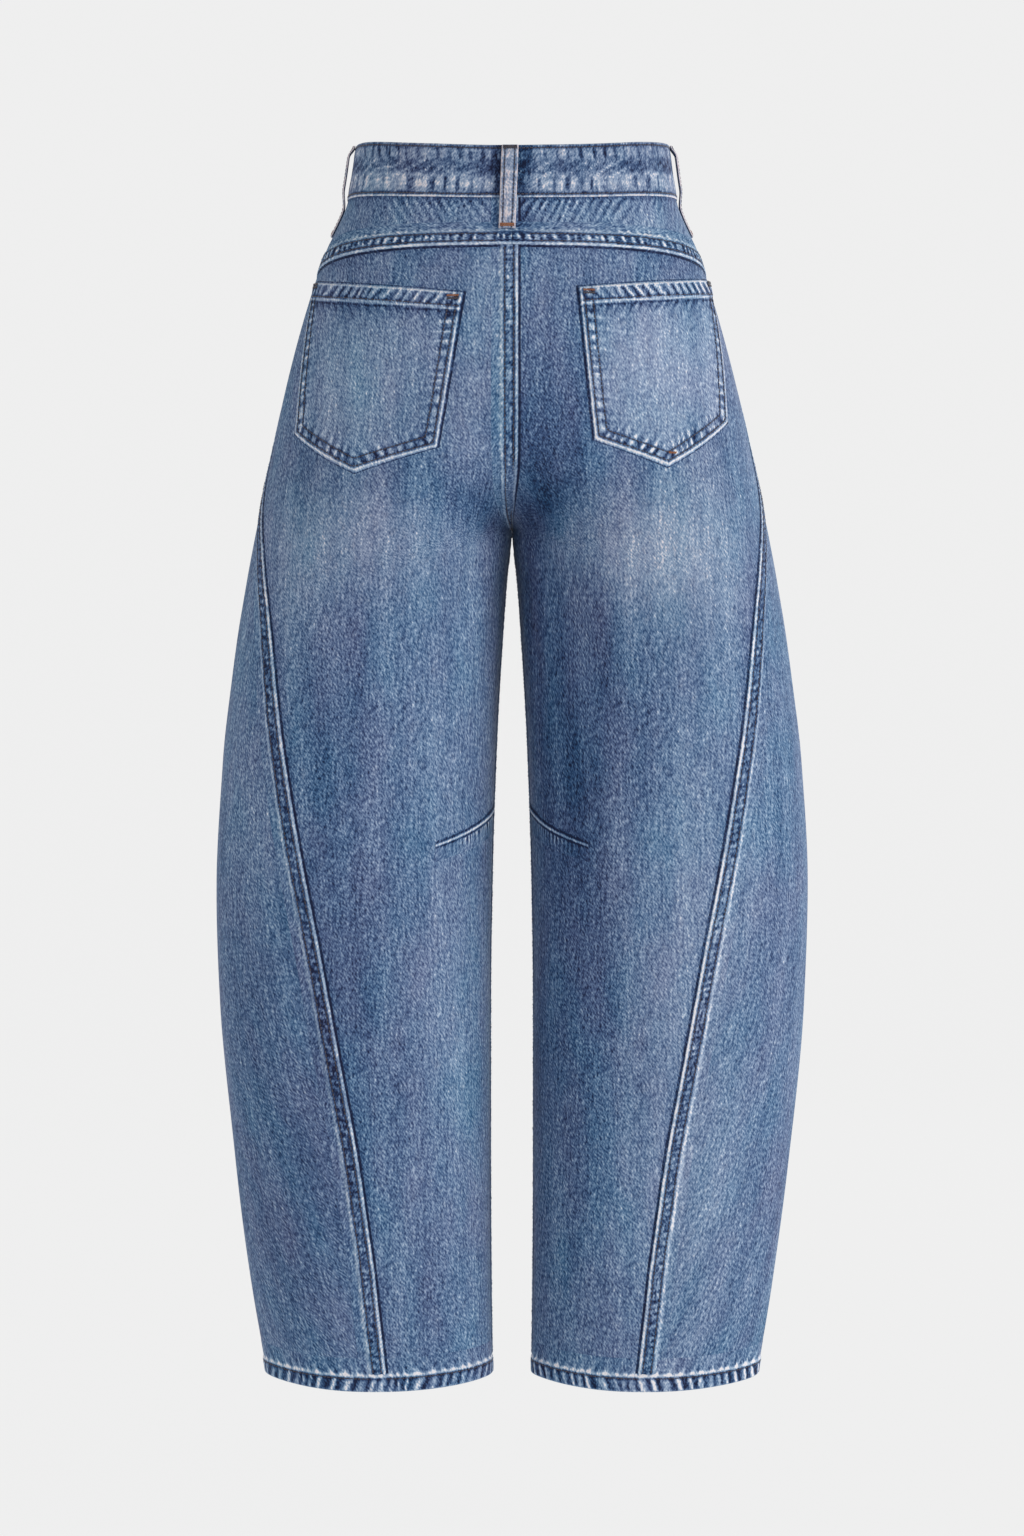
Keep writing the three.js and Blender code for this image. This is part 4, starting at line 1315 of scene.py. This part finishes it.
def build_pockets():
    share_x = np.linspace(-0.016, 1.016, 97)[:, None]
    share_y = np.linspace(-0.014, 1.014, 92)[None, :]
    centre = np.sin(np.pi * np.clip(share_x, 0, 1)) * np.sin(np.pi * np.clip(share_y, 0, 1))
    for side, label in SIDES:
        outline = [np.array(corner, float) for corner in POCKETS[side]]
        upper_in, upper_out, foot_out, tip, foot_in = outline
        top = mix(upper_in, upper_out, share_x)
        foot = np.where(share_x < 0.5, mix(foot_in, tip, 2 * share_x), mix(tip, foot_out, 2 * share_x - 1))
        spot = mix(top[:, None, :], foot[:, None, :], share_y[..., None])
        length, drop = spot[..., 0], spot[..., 1]
        distance, run, nearest = edge_distances(spot, outline)
        from_top = distance_to_line(spot, upper_in, upper_out)
        from_side = edge_distances(spot, outline, skip_first=True)[0]
        seed = 90 + side
        pucker = crest(run, distance, seed)
        hem_pucker = crest(length, from_top, seed + 7, 8.4, -0.75)
        hem_window = rise(from_top, 1.0, 2.0) * fall(from_top, 10.5, 2.5)
        side_window = rise(from_side, 0.5, 1.4) * fall(from_side, 9.5, 9)
        drawn = sum(groove(from_side, row) for row in ROWS)
        below_hem = rise(from_top, 13.0, 2.0)
        height = 0.35 + POCKET_CLOTH * rise(distance, -0.4, 0.9)
        height = height + 0.75 * rise(from_top, -0.4, 0.9) * fall(from_top, 12.4, 2.2)
        height = height + 0.36 * pucker * side_window * below_hem + 0.5 * hem_pucker * hem_window
        height = height - 0.22 * drawn * (distance > 0.5) - 0.25 * groove(from_top, 11.8)
        blobs = crest(run, distance, seed, 8.0, 0.2)
        between = rise(from_side, 3.6, 1.3) * fall(from_side, 8.4, 1.3)
        flames = rise(from_side, 10.2, 1.6) * tail(from_side, 11.5, 4.5)
        on_foot = np.where((nearest == 2) | (nearest == 3), 1.0, 0.6)
        flecks = drift(run + 57.0 * np.floor(distance / 2.1), 2.7, seed + 8)
        spots = on_foot * (1.35 * blobs - 0.1) + 0.4 * flecks + 0.5 * (1 - on_foot)
        under = tail(from_top, 17, 6) * rise(from_top, 15, 2)
        wash = 0.08 + 0.22 * centre ** 0.8 + (0.12 if side == RIGHT else 0.0)
        wash = wash + below_hem * (between * spots + on_foot * 1.2 * flames * np.maximum(blobs, -0.35))
        wash = wash - 0.85 * drawn * (0.9 - 0.25 * blobs)
        wash = wash + hem_window * (1.4 * hem_pucker - 0.08) - 0.8 * groove(from_top, 11.4)
        # a pale worn line on the hem's folded edge, a painted shadow line under it, then painted shadow with
        # faded puckers below the hem
        wash = wash + 0.75 * groove(from_top, 13.6) - 0.85 * groove(from_top, 15.9)
        wash = wash + under * (0.7 * crest(length, from_top, seed + 9, 8.4, 0.6) - 0.4)
        wash = wash + 0.95 * bell(distance, 0.8, 1.15)
        # the rim outside the pocket's edge is painted as the shadow line round the pocket
        outside = distance < -0.45
        place = side, place_at(length, drop), drop
        outer = cloth_point(*place, np.where(outside, 0.16, height))
        inner = cloth_point(*place, np.where(outside, -0.5, -0.1))
        part = wall_part(outer, inner, spot * [side, 1], np.where(outside, -0.95, wash))
        cloth_piece(f"cloth_pocket_{label}", [part], [f"back_pocket_{label}"])
        build_pocket_thread(side, label, outline)


def distance_to_line(spot, start, end):
    """The signed distance from the line through two corners, positive inside the pocket."""
    direction = unit(end - start)
    offset = spot - start
    return direction[0] * offset[..., 1] - direction[1] * offset[..., 0]


def edge_distances(spot, outline, skip_first=False):
    """The smallest signed distance to the outline's edges, the run along the nearest one and
    its number. The corners go from the top inner one round by the outer side."""
    best = np.full(spot.shape[:2], np.inf)
    run = np.zeros(spot.shape[:2])
    nearest = np.zeros(spot.shape[:2], int)
    total = 0.0
    for index, start in enumerate(outline):
        end = outline[(index + 1) % len(outline)]
        if not (skip_first and index == 0):
            distance = distance_to_line(spot, start, end)
            closer = distance < best
            best = np.where(closer, distance, best)
            run = np.where(closer, total + (spot - start) @ unit(end - start), run)
            nearest = np.where(closer, index, nearest)
        total += np.linalg.norm(end - start)
    return best, run, nearest


def inset_corner(outline, index, inset):
    """A corner of the outline moved in, so that both its edges lie an inset deeper."""
    corner = outline[index]
    first, second = unit(corner - outline[index - 1]), unit(outline[(index + 1) % len(outline)] - corner)
    inwards = np.array([-first[1] - second[1], first[0] + second[0]])
    return corner + inwards * inset / (1 + first @ second)


def build_pocket_thread(side, label, outline):
    cloth = 0.35 + POCKET_CLOTH
    parts = []
    for inset in ROWS:
        path = [inset_corner(outline, index, inset) for index in (1, 2, 3, 4, 0)]
        first, last = unit(path[0] - path[1]), unit(path[-1] - path[-2])
        path[0], path[-1] = path[0] + first * (inset - 1.5), path[-1] + last * (inset - 1.5)
        parts.append(thread_on_cloth(side, path, cloth))
    hem_line = [inset_corner(outline, index, 2.0) + np.array([0.0, 9.6]) for index in (0, 1)]
    parts.append(thread_on_cloth(side, hem_line, cloth + 0.5))
    for point, way, slot in ((outline[0], 1, 1), (outline[1], -1, 0)):
        for step, colour in ((2.6, slot), (5.0, 0)):
            start = point + np.array([way * 3.0, step])
            parts.append(tack_on_cloth(side, start, way * 9.0, 1.7, cloth + 1.1, colour))
    if side == RIGHT:
        parts.append(tack_on_cloth(side, outline[3] - np.array([0.5, 10.5]), 6.5, 1.7, 0.9 + POCKET_CLOTH, 1))
    thread_piece(f"pocket_topstitch_{label}", parts)


def thread_on_cloth(side, corners, height):
    """A row of stitches through corners given as length from the centre and drop."""
    pieces = []
    for start, end in zip(corners[:-1], corners[1:]):
        count = max(2, int(np.linalg.norm(end - start) / 1.5))
        pieces.append(mix(start, end, np.linspace(0, 1, count)[:, None]))
    path = np.concatenate(pieces)
    return row_along(*on_cloth(side, path[:, 0], path[:, 1], height))


def tack_on_cloth(side, start, length, width, height, slot):
    """A bar tack beside a corner, as a dense zigzag from start along the length."""
    count = max(8, int(abs(length) / 0.7))
    spread = start[0] + np.linspace(0, length, count)
    lying = on_cloth(side, spread, zigzag(start[1], count, width), height)
    return stitches_part(*lying, 0.95, slot, TACK_SHARE)


# Belt loops, darts, fly and button

LOOP_ACROSS = (-0.5, -0.44, -0.36, -0.28, -0.2, -0.1, 0.0, 0.1, 0.2, 0.28, 0.36, 0.44, 0.5)


def loop_clear(drop, base):
    """How far a loop stands off the cloth: it climbs at its top and comes down to its base."""
    end = np.where(drop < LOOP_FALL_START, BAND_OUT + 0.35, base)
    bow = rise(drop, LOOP_TOP, LOOP_CLIMB) * fall(drop, LOOP_FALL_START, LOOP_FALL)
    return mix(end, BAND_OUT + LOOP_BOW, bow)


def belt_loop(name, side, length_at, foot, base, seed):
    """A strip of doubled cloth carried down from the waistband's upper edge: its section is a
    flat bar with rounded edges, and its height over the cloth follows loop_clear."""
    drops = np.linspace(LOOP_TOP - 0.6, foot, 50)
    down = drops[:, None]
    shares = np.array(LOOP_ACROSS)
    edge = 0.5 - np.abs(shares)
    half = LOOP_CLOTH / 2
    roundness = round_edge(edge, 0.08)
    mottle = drift(down + 2.5 * shares, 7, seed)
    stitched = bell(np.abs(shares), 0.29, 0.055)
    upper = half + half * roundness * (1 + 0.12 * mottle) - 0.22 * stitched
    lower = (half - half * roundness)[-2:0:-1]
    clear = loop_clear(down, base)
    outs = np.concatenate([clear + upper, clear + lower], axis=1)
    across = np.concatenate([shares, shares[-2:0:-1]]) * LOOP_WIDTH
    rings = on_cloth(side, length_at(down) + across, down + 0 * across, outs)[0]
    face = 0.72 + 0.25 * mottle - 0.95 * stitched + 0.5 * np.exp(-(edge / 0.05) ** 2)
    dark = 0.5 * bell(down, foot - 6, 4.0) * bell(shares, 0, 0.2)
    grain = np.stack(np.broadcast_arrays(across, down), axis=-1)
    part = tube_part(rings, grain, with_hidden(face - dark, len(lower)))
    part["cast"] = np.full(len(part["wash"]), LOOP_CAST)
    cloth_piece(f"cloth_{name}", [part], [f"belt_{name}"])
    parts = []
    for share in (-0.29, 0.29):
        out = loop_clear(drops, base) + LOOP_CLOTH - 0.12
        parts.append(row_along(*on_cloth(side, length_at(drops) + share * LOOP_WIDTH, drops, out)))
    for drop, slot in ((foot - 2.2, 1), (LOOP_TOP + 2.0, 0)):
        for shift in (0.0, 1.5):
            spread = length_at(np.full(14, drop)) + np.linspace(-0.42, 0.42, 14) * LOOP_WIDTH
            swing = zigzag(drop - shift, 14, 1.4)
            lying = on_cloth(side, spread, swing, loop_clear(swing, base) + LOOP_CLOTH + 0.1)
            parts.append(stitches_part(*lying, 1.0, slot, TACK_SHARE))
    thread_piece(f"{name}_topstitch", parts)


def back_loop_length(drop):
    return -1.4 - 0.035 * (drop - LOOP_TOP)


def front_loop_length(drop):
    return full_length(drop) - LOOP_FRONT


def build_loops():
    belt_loop("loop_back", RIGHT, back_loop_length, 50.0, 1.25, 101)
    for side, label in SIDES:
        belt_loop(f"loop_side_{label}", side, side_length, 51.0, LOOP_REST, 103 + side)
        belt_loop(f"loop_front_{label}", side, front_loop_length, 51.0, LOOP_REST, 107 + side)


DART_ACROSS = (-3.4, -2.4, -1.7, -1.0, -0.4, 0.3, 1.0, 1.8, 2.5, 3.2, 4.0, 5.0, 6.4, 8.2, 10.4, 13.0, 16.0)


def build_darts():
    """The dart's lip: a fold of cloth that thins to nothing at its tip, with a painted shadow above it."""
    share = np.linspace(0, 1, 96)[:, None]
    width = np.array(DART_ACROSS)[None, :]
    narrow = mix(1.0, 0.8, share)
    for side, label in SIDES:
        pucker = crest(92 * share, width, 120 + side, 4.2, 0.1)
        lip = rise(width, -0.9, 0.8) * fall(width, 1.2, 3.6)
        height = 0.14 + lip * (1 - 0.4875 * share) + 0.12 * pucker * rise(width, 0, 2) * lip
        height = np.where((width > 15) | (width < -2.8), 0.05, height)
        # a pale worn ridge, a dark line below it and a painted shadow above it
        wash = 1.2 * bell(width, 0.9, 1.0) - 1.3 * bell(width, 3.0, 0.85) - 1.25 * bell(width, -1.3, 0.95)
        below = rise(width, 3.6, 1.4) * tail(width, 5, 5)
        wash = wash * narrow + 1.8 * below * pucker * fall(share, 0.5, 0.4)
        across = mix(DART_ROOT[0], DART_TIP[0], share) + 0 * width
        line = mix(DART_ROOT[1], DART_TIP[1], share) + DART_BOW * np.sin(np.pi * share)
        drop = line + width * narrow
        spot = side, place_at(across, drop), drop
        ends = cloth_point(side, spot[1][:, [-1, 0]], drop[:, [-1, 0]], -0.6)
        rings = np.concatenate([cloth_point(*spot, height), ends], axis=1)
        grain = np.stack([across, drop], axis=-1)
        grain = np.concatenate([grain, grain[:, [-1, 0]]], axis=1)
        part = tube_part(rings, grain, with_hidden(wash + body_wash_and_shade(*spot), 2))
        cloth_piece(f"cloth_dart_{label}", [part], [f"knee_dart_{label}"])


FLY_ROWS = (2.4, 8.6)


def build_fly():
    """The fly on the left front: a raised tongue with a rounded foot and two rows that follow
    its curved edge."""
    drops = np.linspace(BAND_FOOT - 1, FLY_FOOT + 1.2, 88)[:, None]
    shares = np.concatenate([np.linspace(0, 0.7, 14), np.linspace(0.74, 1.03, 16)])
    past = np.clip((drops - FLY_STRAIGHT) / (FLY_FOOT - FLY_STRAIGHT), 0, 1)
    width = np.maximum(6.0, FLY_WIDTH * np.sqrt(np.clip(1 - past ** 2, 0, 1)))
    inset = shares * width
    drop = drops + 0 * inset
    edge = np.minimum(width - inset, FLY_FOOT + 0.4 - drop)
    pucker = crest(drop, edge, 140) * rise(edge, 0, 2) * fall(edge, 8, 6)
    height = 0.16 + 0.95 * rise(edge, -0.3, 1.2) + 0.3 * pucker
    height = np.where(edge < -0.3, 0.05, height)
    spot = LEFT, place_at(full_length(drop) - inset, drop), drop
    wash = 0.1 + 0.4 * pucker - 0.4 * sum(groove(edge, row) for row in FLY_ROWS)
    wash = wash + 0.5 * bell(edge, 0.4, 0.8) + body_wash_and_shade(*spot)
    outer, inner = cloth_point(*spot, height), cloth_point(*spot, -0.5)
    part = wall_part(outer, inner, np.stack([inset, drop], axis=-1), wash)
    cloth_piece("cloth_fly", [part], nodes=["fly"])
    parts = []
    for row in FLY_ROWS:
        drop = np.linspace(BAND_FOOT + 1, FLY_FOOT - row, 120)
        past = np.clip((drop - FLY_STRAIGHT) / (FLY_FOOT - row - FLY_STRAIGHT), 0, 1)
        inset = (FLY_WIDTH - row) * np.sqrt(1 - past ** 2) + 0.4
        parts.append(row_along(*on_cloth(LEFT, full_length(drop) - inset, drop, 1.0)))
    thread_piece("fly_topstitch", parts)


BUTTON_PROFILE = (
    (0.0, 0.1), (5.0, 0.1), (7.6, 0.1), (8.1, 0.3), (8.5, 0.8), (8.5, 1.6), (8.3, 2.1),
    (7.8, 2.4), (7.2, 2.35), (6.8, 1.95), (6.4, 1.7), (5.2, 1.72), (4.2, 1.95), (3.6, 2.2),
    (2.6, 2.45), (1.3, 2.55), (0.0, 2.6),
)
BUTTON_SEGMENTS = 72


def build_button():
    """The waist button: a profile turned about the cloth's normal, with a raised rim, a
    hollow ring and a low dome."""
    length = full_length(0.0) - BUTTON_INSET
    centre, normal = on_cloth(LEFT, length, 0.0, 2 * BAND_OUT + BAND_IN + 0.6)
    across = unit(np.cross(normal, np.array([0.0, 0.0, 1.0])))
    turn = np.arange(BUTTON_SEGMENTS)[:, None] * 2 * np.pi / BUTTON_SEGMENTS
    outwards = np.cos(turn) * across + np.sin(turn) * np.cross(across, normal)
    radius, out = np.array(BUTTON_PROFILE).T[..., None, None]
    rings = centre + radius * outwards + out * normal
    part = tube_part(rings[1:-1], middles=rings[[0, -1], 0])
    copper = made_once("Aged stamped copper", aged_copper)
    make_mesh("button_waist", [part], [copper], ["waist_button"])


# Stage

def build_stage():
    """Camera at the photograph's distance and height, seamless paper and soft studio light."""
    scene = bpy.context.scene
    camera = bpy.data.cameras.new("camera")
    camera.sensor_fit = "VERTICAL"
    camera.sensor_height = SENSOR
    camera.sensor_width = SENSOR
    camera.lens = SENSOR * CAMERA_AWAY / (IMAGE[1] * PIXEL)
    camera.clip_end = 50.0
    eye = bpy.data.objects.new("camera", camera)
    eye.location = (0.0, -CAMERA_AWAY * MM, HORIZON * MM)
    eye.rotation_euler = (math.radians(90), 0.0, 0.0)
    scene.collection.objects.link(eye)
    scene.camera = eye
    for name, place, size, power, target in LIGHTS:
        lamp = bpy.data.lights.new(name, "AREA")
        lamp.shape = "RECTANGLE"
        lamp.size, lamp.size_y = size
        lamp.energy = power
        holder = bpy.data.objects.new(name, lamp)
        holder.location = place
        away = np.array(target) - np.array(place)
        yaw = math.atan2(away[0], -away[1])
        pitch = math.atan2(math.hypot(away[0], away[1]), -away[2])
        holder.rotation_euler = (pitch, 0.0, yaw + math.pi)
        holder.visible_camera = False
        scene.collection.objects.link(holder)
    world = bpy.data.worlds.new("studio")
    world.use_nodes = True
    background = next(n for n in world.node_tree.nodes if n.type == "BACKGROUND")
    background.inputs["Color"].default_value = linear("#ffffff")
    background.inputs["Strength"].default_value = WORLD_STRENGTH
    scene.world = world
    scene.view_settings.view_transform = "Standard"
    scene.view_settings.look = "None"
    build_paper()


# Soft studio lights: place, size, power in watts and the point that each faces.
LIGHTS = (
    ("key", (3.3, -2.3, 0.5), (1.8, 2.8), 92.0, (0.0, 0.0, -0.5)),
    ("fill", (-3.0, -2.8, 0.2), (2.6, 2.6), 11.0, (0.0, 0.0, -0.5)),
    ("front", (2.4, 3.3, 0.9), (2.4, 2.4), 70.0, (0.0, 0.0, -0.5)),
)
WORLD_STRENGTH = 0.42
PAPER_RADIUS = 7.5
PAPER_BEND = 2.5
PAPER_HEIGHT = 5.0
PAPER_SEGMENTS = 96


def build_paper():
    """Floor and wall in one: a disc that curves up all round, far outside the lights."""
    angle = np.linspace(0, np.pi / 2, 24)
    wall = PAPER_RADIUS + PAPER_BEND
    radius = np.concatenate([[0.0002], PAPER_RADIUS + PAPER_BEND * np.sin(angle), [wall]])
    height = FLOOR + np.concatenate([[0], PAPER_BEND * (1 - np.cos(angle)), [PAPER_HEIGHT]])
    turn = np.linspace(0, 2 * np.pi, PAPER_SEGMENTS + 1)
    x = radius[None, :] * np.cos(turn)[:, None]
    y = radius[None, :] * np.sin(turn)[:, None]
    points = np.stack(np.broadcast_arrays(x, y, height[None, :]), axis=-1)
    mesh = bpy.data.meshes.new("paper")
    faces = grid_faces(PAPER_SEGMENTS + 1, len(radius), flip=True)
    mesh.from_pydata(points.reshape(-1, 3).tolist(), [], faces.tolist())
    mesh.shade_smooth()
    mesh.materials.append(made_once("Seamless studio paper, matt", studio_paper))
    paper = bpy.data.objects.new("paper", mesh)
    bpy.context.scene.collection.objects.link(paper)


# Add-on

def colour_property(name, description, default):
    values = [int(default[i:i + 2], 16) / 255 for i in (1, 3, 5)]
    return FloatVectorProperty(
        name=name, description=description, default=values, size=3, min=0, max=1, subtype="COLOR_GAMMA"
    )


class TrouserColours(bpy.types.PropertyGroup):
    """Colours of the trousers and their setting, as they look in sRGB."""

    # the darkest tone: painted shadow beside lapping edges, over cloth kept unfaded there
    shadow_and_unfaded: colour_property("Shielded", "Unfaded cloth beside a seam", "#171f3a")
    deep: colour_property("Deep", "The darker yarns", "#31476d")
    mid: colour_property("Mid", "The cloth's mean colour", "#556d8f")
    faded: colour_property("Faded", "Rubbed cloth", "#889cb6")
    pale: colour_property("Pale", "Cloth rubbed nearly white", "#b0bfd0")
    worn: colour_property("Worn", "Folded edges and crests", "#dfdce0")
    grey_cast: colour_property("Grey cast", "Multiplied over patches of the blue", "#d9cdd0")
    reverse_dark: colour_property("Reverse, dark", "The reverse's darker flecks", "#75839a")
    reverse_pale: colour_property("Reverse, pale", "The reverse's pale yarns", "#b4bdca")
    thread: colour_property("Thread", "Topstitching", "#28252f")
    bar_tack: colour_property("Bar tack", "Bar tacks", "#7a472b")
    metal: colour_property("Button", "The button's copper", "#9c6f4b")
    paper: colour_property("Paper", "Background paper", "#f4f4f4")


class TrouserSizes(bpy.types.PropertyGroup):
    """Sizes of the sewing that a user may change."""

    pucker_height: FloatProperty(
        name="Pucker height", description="How far the puckers of a seam rise and fall",
        default=0.00042, min=0.0, max=0.001, precision=5, unit="LENGTH",
    )
    thread_thickness: FloatProperty(
        name="Thread thickness", description="Diameter of the topstitching thread",
        default=0.00098, min=0.0003, max=0.0015, precision=5, unit="LENGTH",
    )


class TROUSERS_OT_stage(bpy.types.Operator):
    """Set the camera, the paper and the lights"""

    bl_idname = "trousers.stage"
    bl_label = "Stage"

    def execute(self, context):
        build_stage()
        return {"FINISHED"}


class TROUSERS_OT_waistband(bpy.types.Operator):
    """Build the waistband"""

    bl_idname = "trousers.waistband"
    bl_label = "Waistband"

    def execute(self, context):
        build_waistband()
        return {"FINISHED"}


class TROUSERS_OT_yokes(bpy.types.Operator):
    """Build both halves of the yoke"""

    bl_idname = "trousers.yokes"
    bl_label = "Yokes"

    def execute(self, context):
        build_yokes()
        return {"FINISHED"}


class TROUSERS_OT_back_panels(bpy.types.Operator):
    """Build both back panels"""

    bl_idname = "trousers.back_panels"
    bl_label = "Back panels"

    def execute(self, context):
        build_back_panels()
        return {"FINISHED"}


class TROUSERS_OT_front_panels(bpy.types.Operator):
    """Build both front panels"""

    bl_idname = "trousers.front_panels"
    bl_label = "Front panels"

    def execute(self, context):
        build_front_panels()
        return {"FINISHED"}


class TROUSERS_OT_seams(bpy.types.Operator):
    """Build the felled seams"""

    bl_idname = "trousers.seams"
    bl_label = "Seams"

    def execute(self, context):
        build_seams()
        return {"FINISHED"}


class TROUSERS_OT_hems(bpy.types.Operator):
    """Build both hems"""

    bl_idname = "trousers.hems"
    bl_label = "Hems"

    def execute(self, context):
        build_hems()
        return {"FINISHED"}


class TROUSERS_OT_pockets(bpy.types.Operator):
    """Build both back pockets"""

    bl_idname = "trousers.pockets"
    bl_label = "Pockets"

    def execute(self, context):
        build_pockets()
        return {"FINISHED"}


class TROUSERS_OT_loops(bpy.types.Operator):
    """Build the belt loops"""

    bl_idname = "trousers.loops"
    bl_label = "Loops"

    def execute(self, context):
        build_loops()
        return {"FINISHED"}


class TROUSERS_OT_darts(bpy.types.Operator):
    """Build the knee darts"""

    bl_idname = "trousers.darts"
    bl_label = "Darts"

    def execute(self, context):
        build_darts()
        return {"FINISHED"}


class TROUSERS_OT_fly(bpy.types.Operator):
    """Build the fly"""

    bl_idname = "trousers.fly"
    bl_label = "Fly"

    def execute(self, context):
        build_fly()
        return {"FINISHED"}


class TROUSERS_OT_button(bpy.types.Operator):
    """Build the waist button"""

    bl_idname = "trousers.button"
    bl_label = "Button"

    def execute(self, context):
        build_button()
        return {"FINISHED"}


class TROUSERS_OT_cuts(bpy.types.Operator):
    bl_idname = "trousers.cuts"
    bl_label = "Cuts"

    def execute(self, context):
        return {"FINISHED"}


OPERATORS = (
    TROUSERS_OT_stage,
    TROUSERS_OT_waistband,
    TROUSERS_OT_yokes,
    TROUSERS_OT_back_panels,
    TROUSERS_OT_front_panels,
    TROUSERS_OT_seams,
    TROUSERS_OT_hems,
    TROUSERS_OT_pockets,
    TROUSERS_OT_loops,
    TROUSERS_OT_darts,
    TROUSERS_OT_fly,
    TROUSERS_OT_button,
    TROUSERS_OT_cuts,
)


class TROUSERS_PT_panel(bpy.types.Panel):
    """Lists the builders and the values that a user may change."""

    bl_label = "Barrel leg trousers"
    bl_idname = "TROUSERS_PT_panel"
    bl_space_type = "VIEW_3D"
    bl_region_type = "UI"
    bl_category = "Trousers"

    def draw(self, context):
        layout = self.layout
        for group in (context.scene.trouser_sizes, context.scene.trouser_colours):
            for name in group.__annotations__:
                layout.prop(group, name)
        for operator in OPERATORS:
            layout.operator(operator.bl_idname)


CLASSES = (TrouserColours, TrouserSizes, *OPERATORS, TROUSERS_PT_panel)


def register():
    for one in CLASSES:
        bpy.utils.register_class(one)
    bpy.types.Scene.trouser_colours = PointerProperty(type=TrouserColours)
    bpy.types.Scene.trouser_sizes = PointerProperty(type=TrouserSizes)


def unregister():
    del bpy.types.Scene.trouser_sizes
    del bpy.types.Scene.trouser_colours
    for one in reversed(CLASSES):
        bpy.utils.unregister_class(one)


def main():
    register()
    for operator in OPERATORS:
        call = getattr(bpy.ops.trousers, operator.bl_idname.split(".")[1])
        call()


if __name__ == "__main__":
    main()
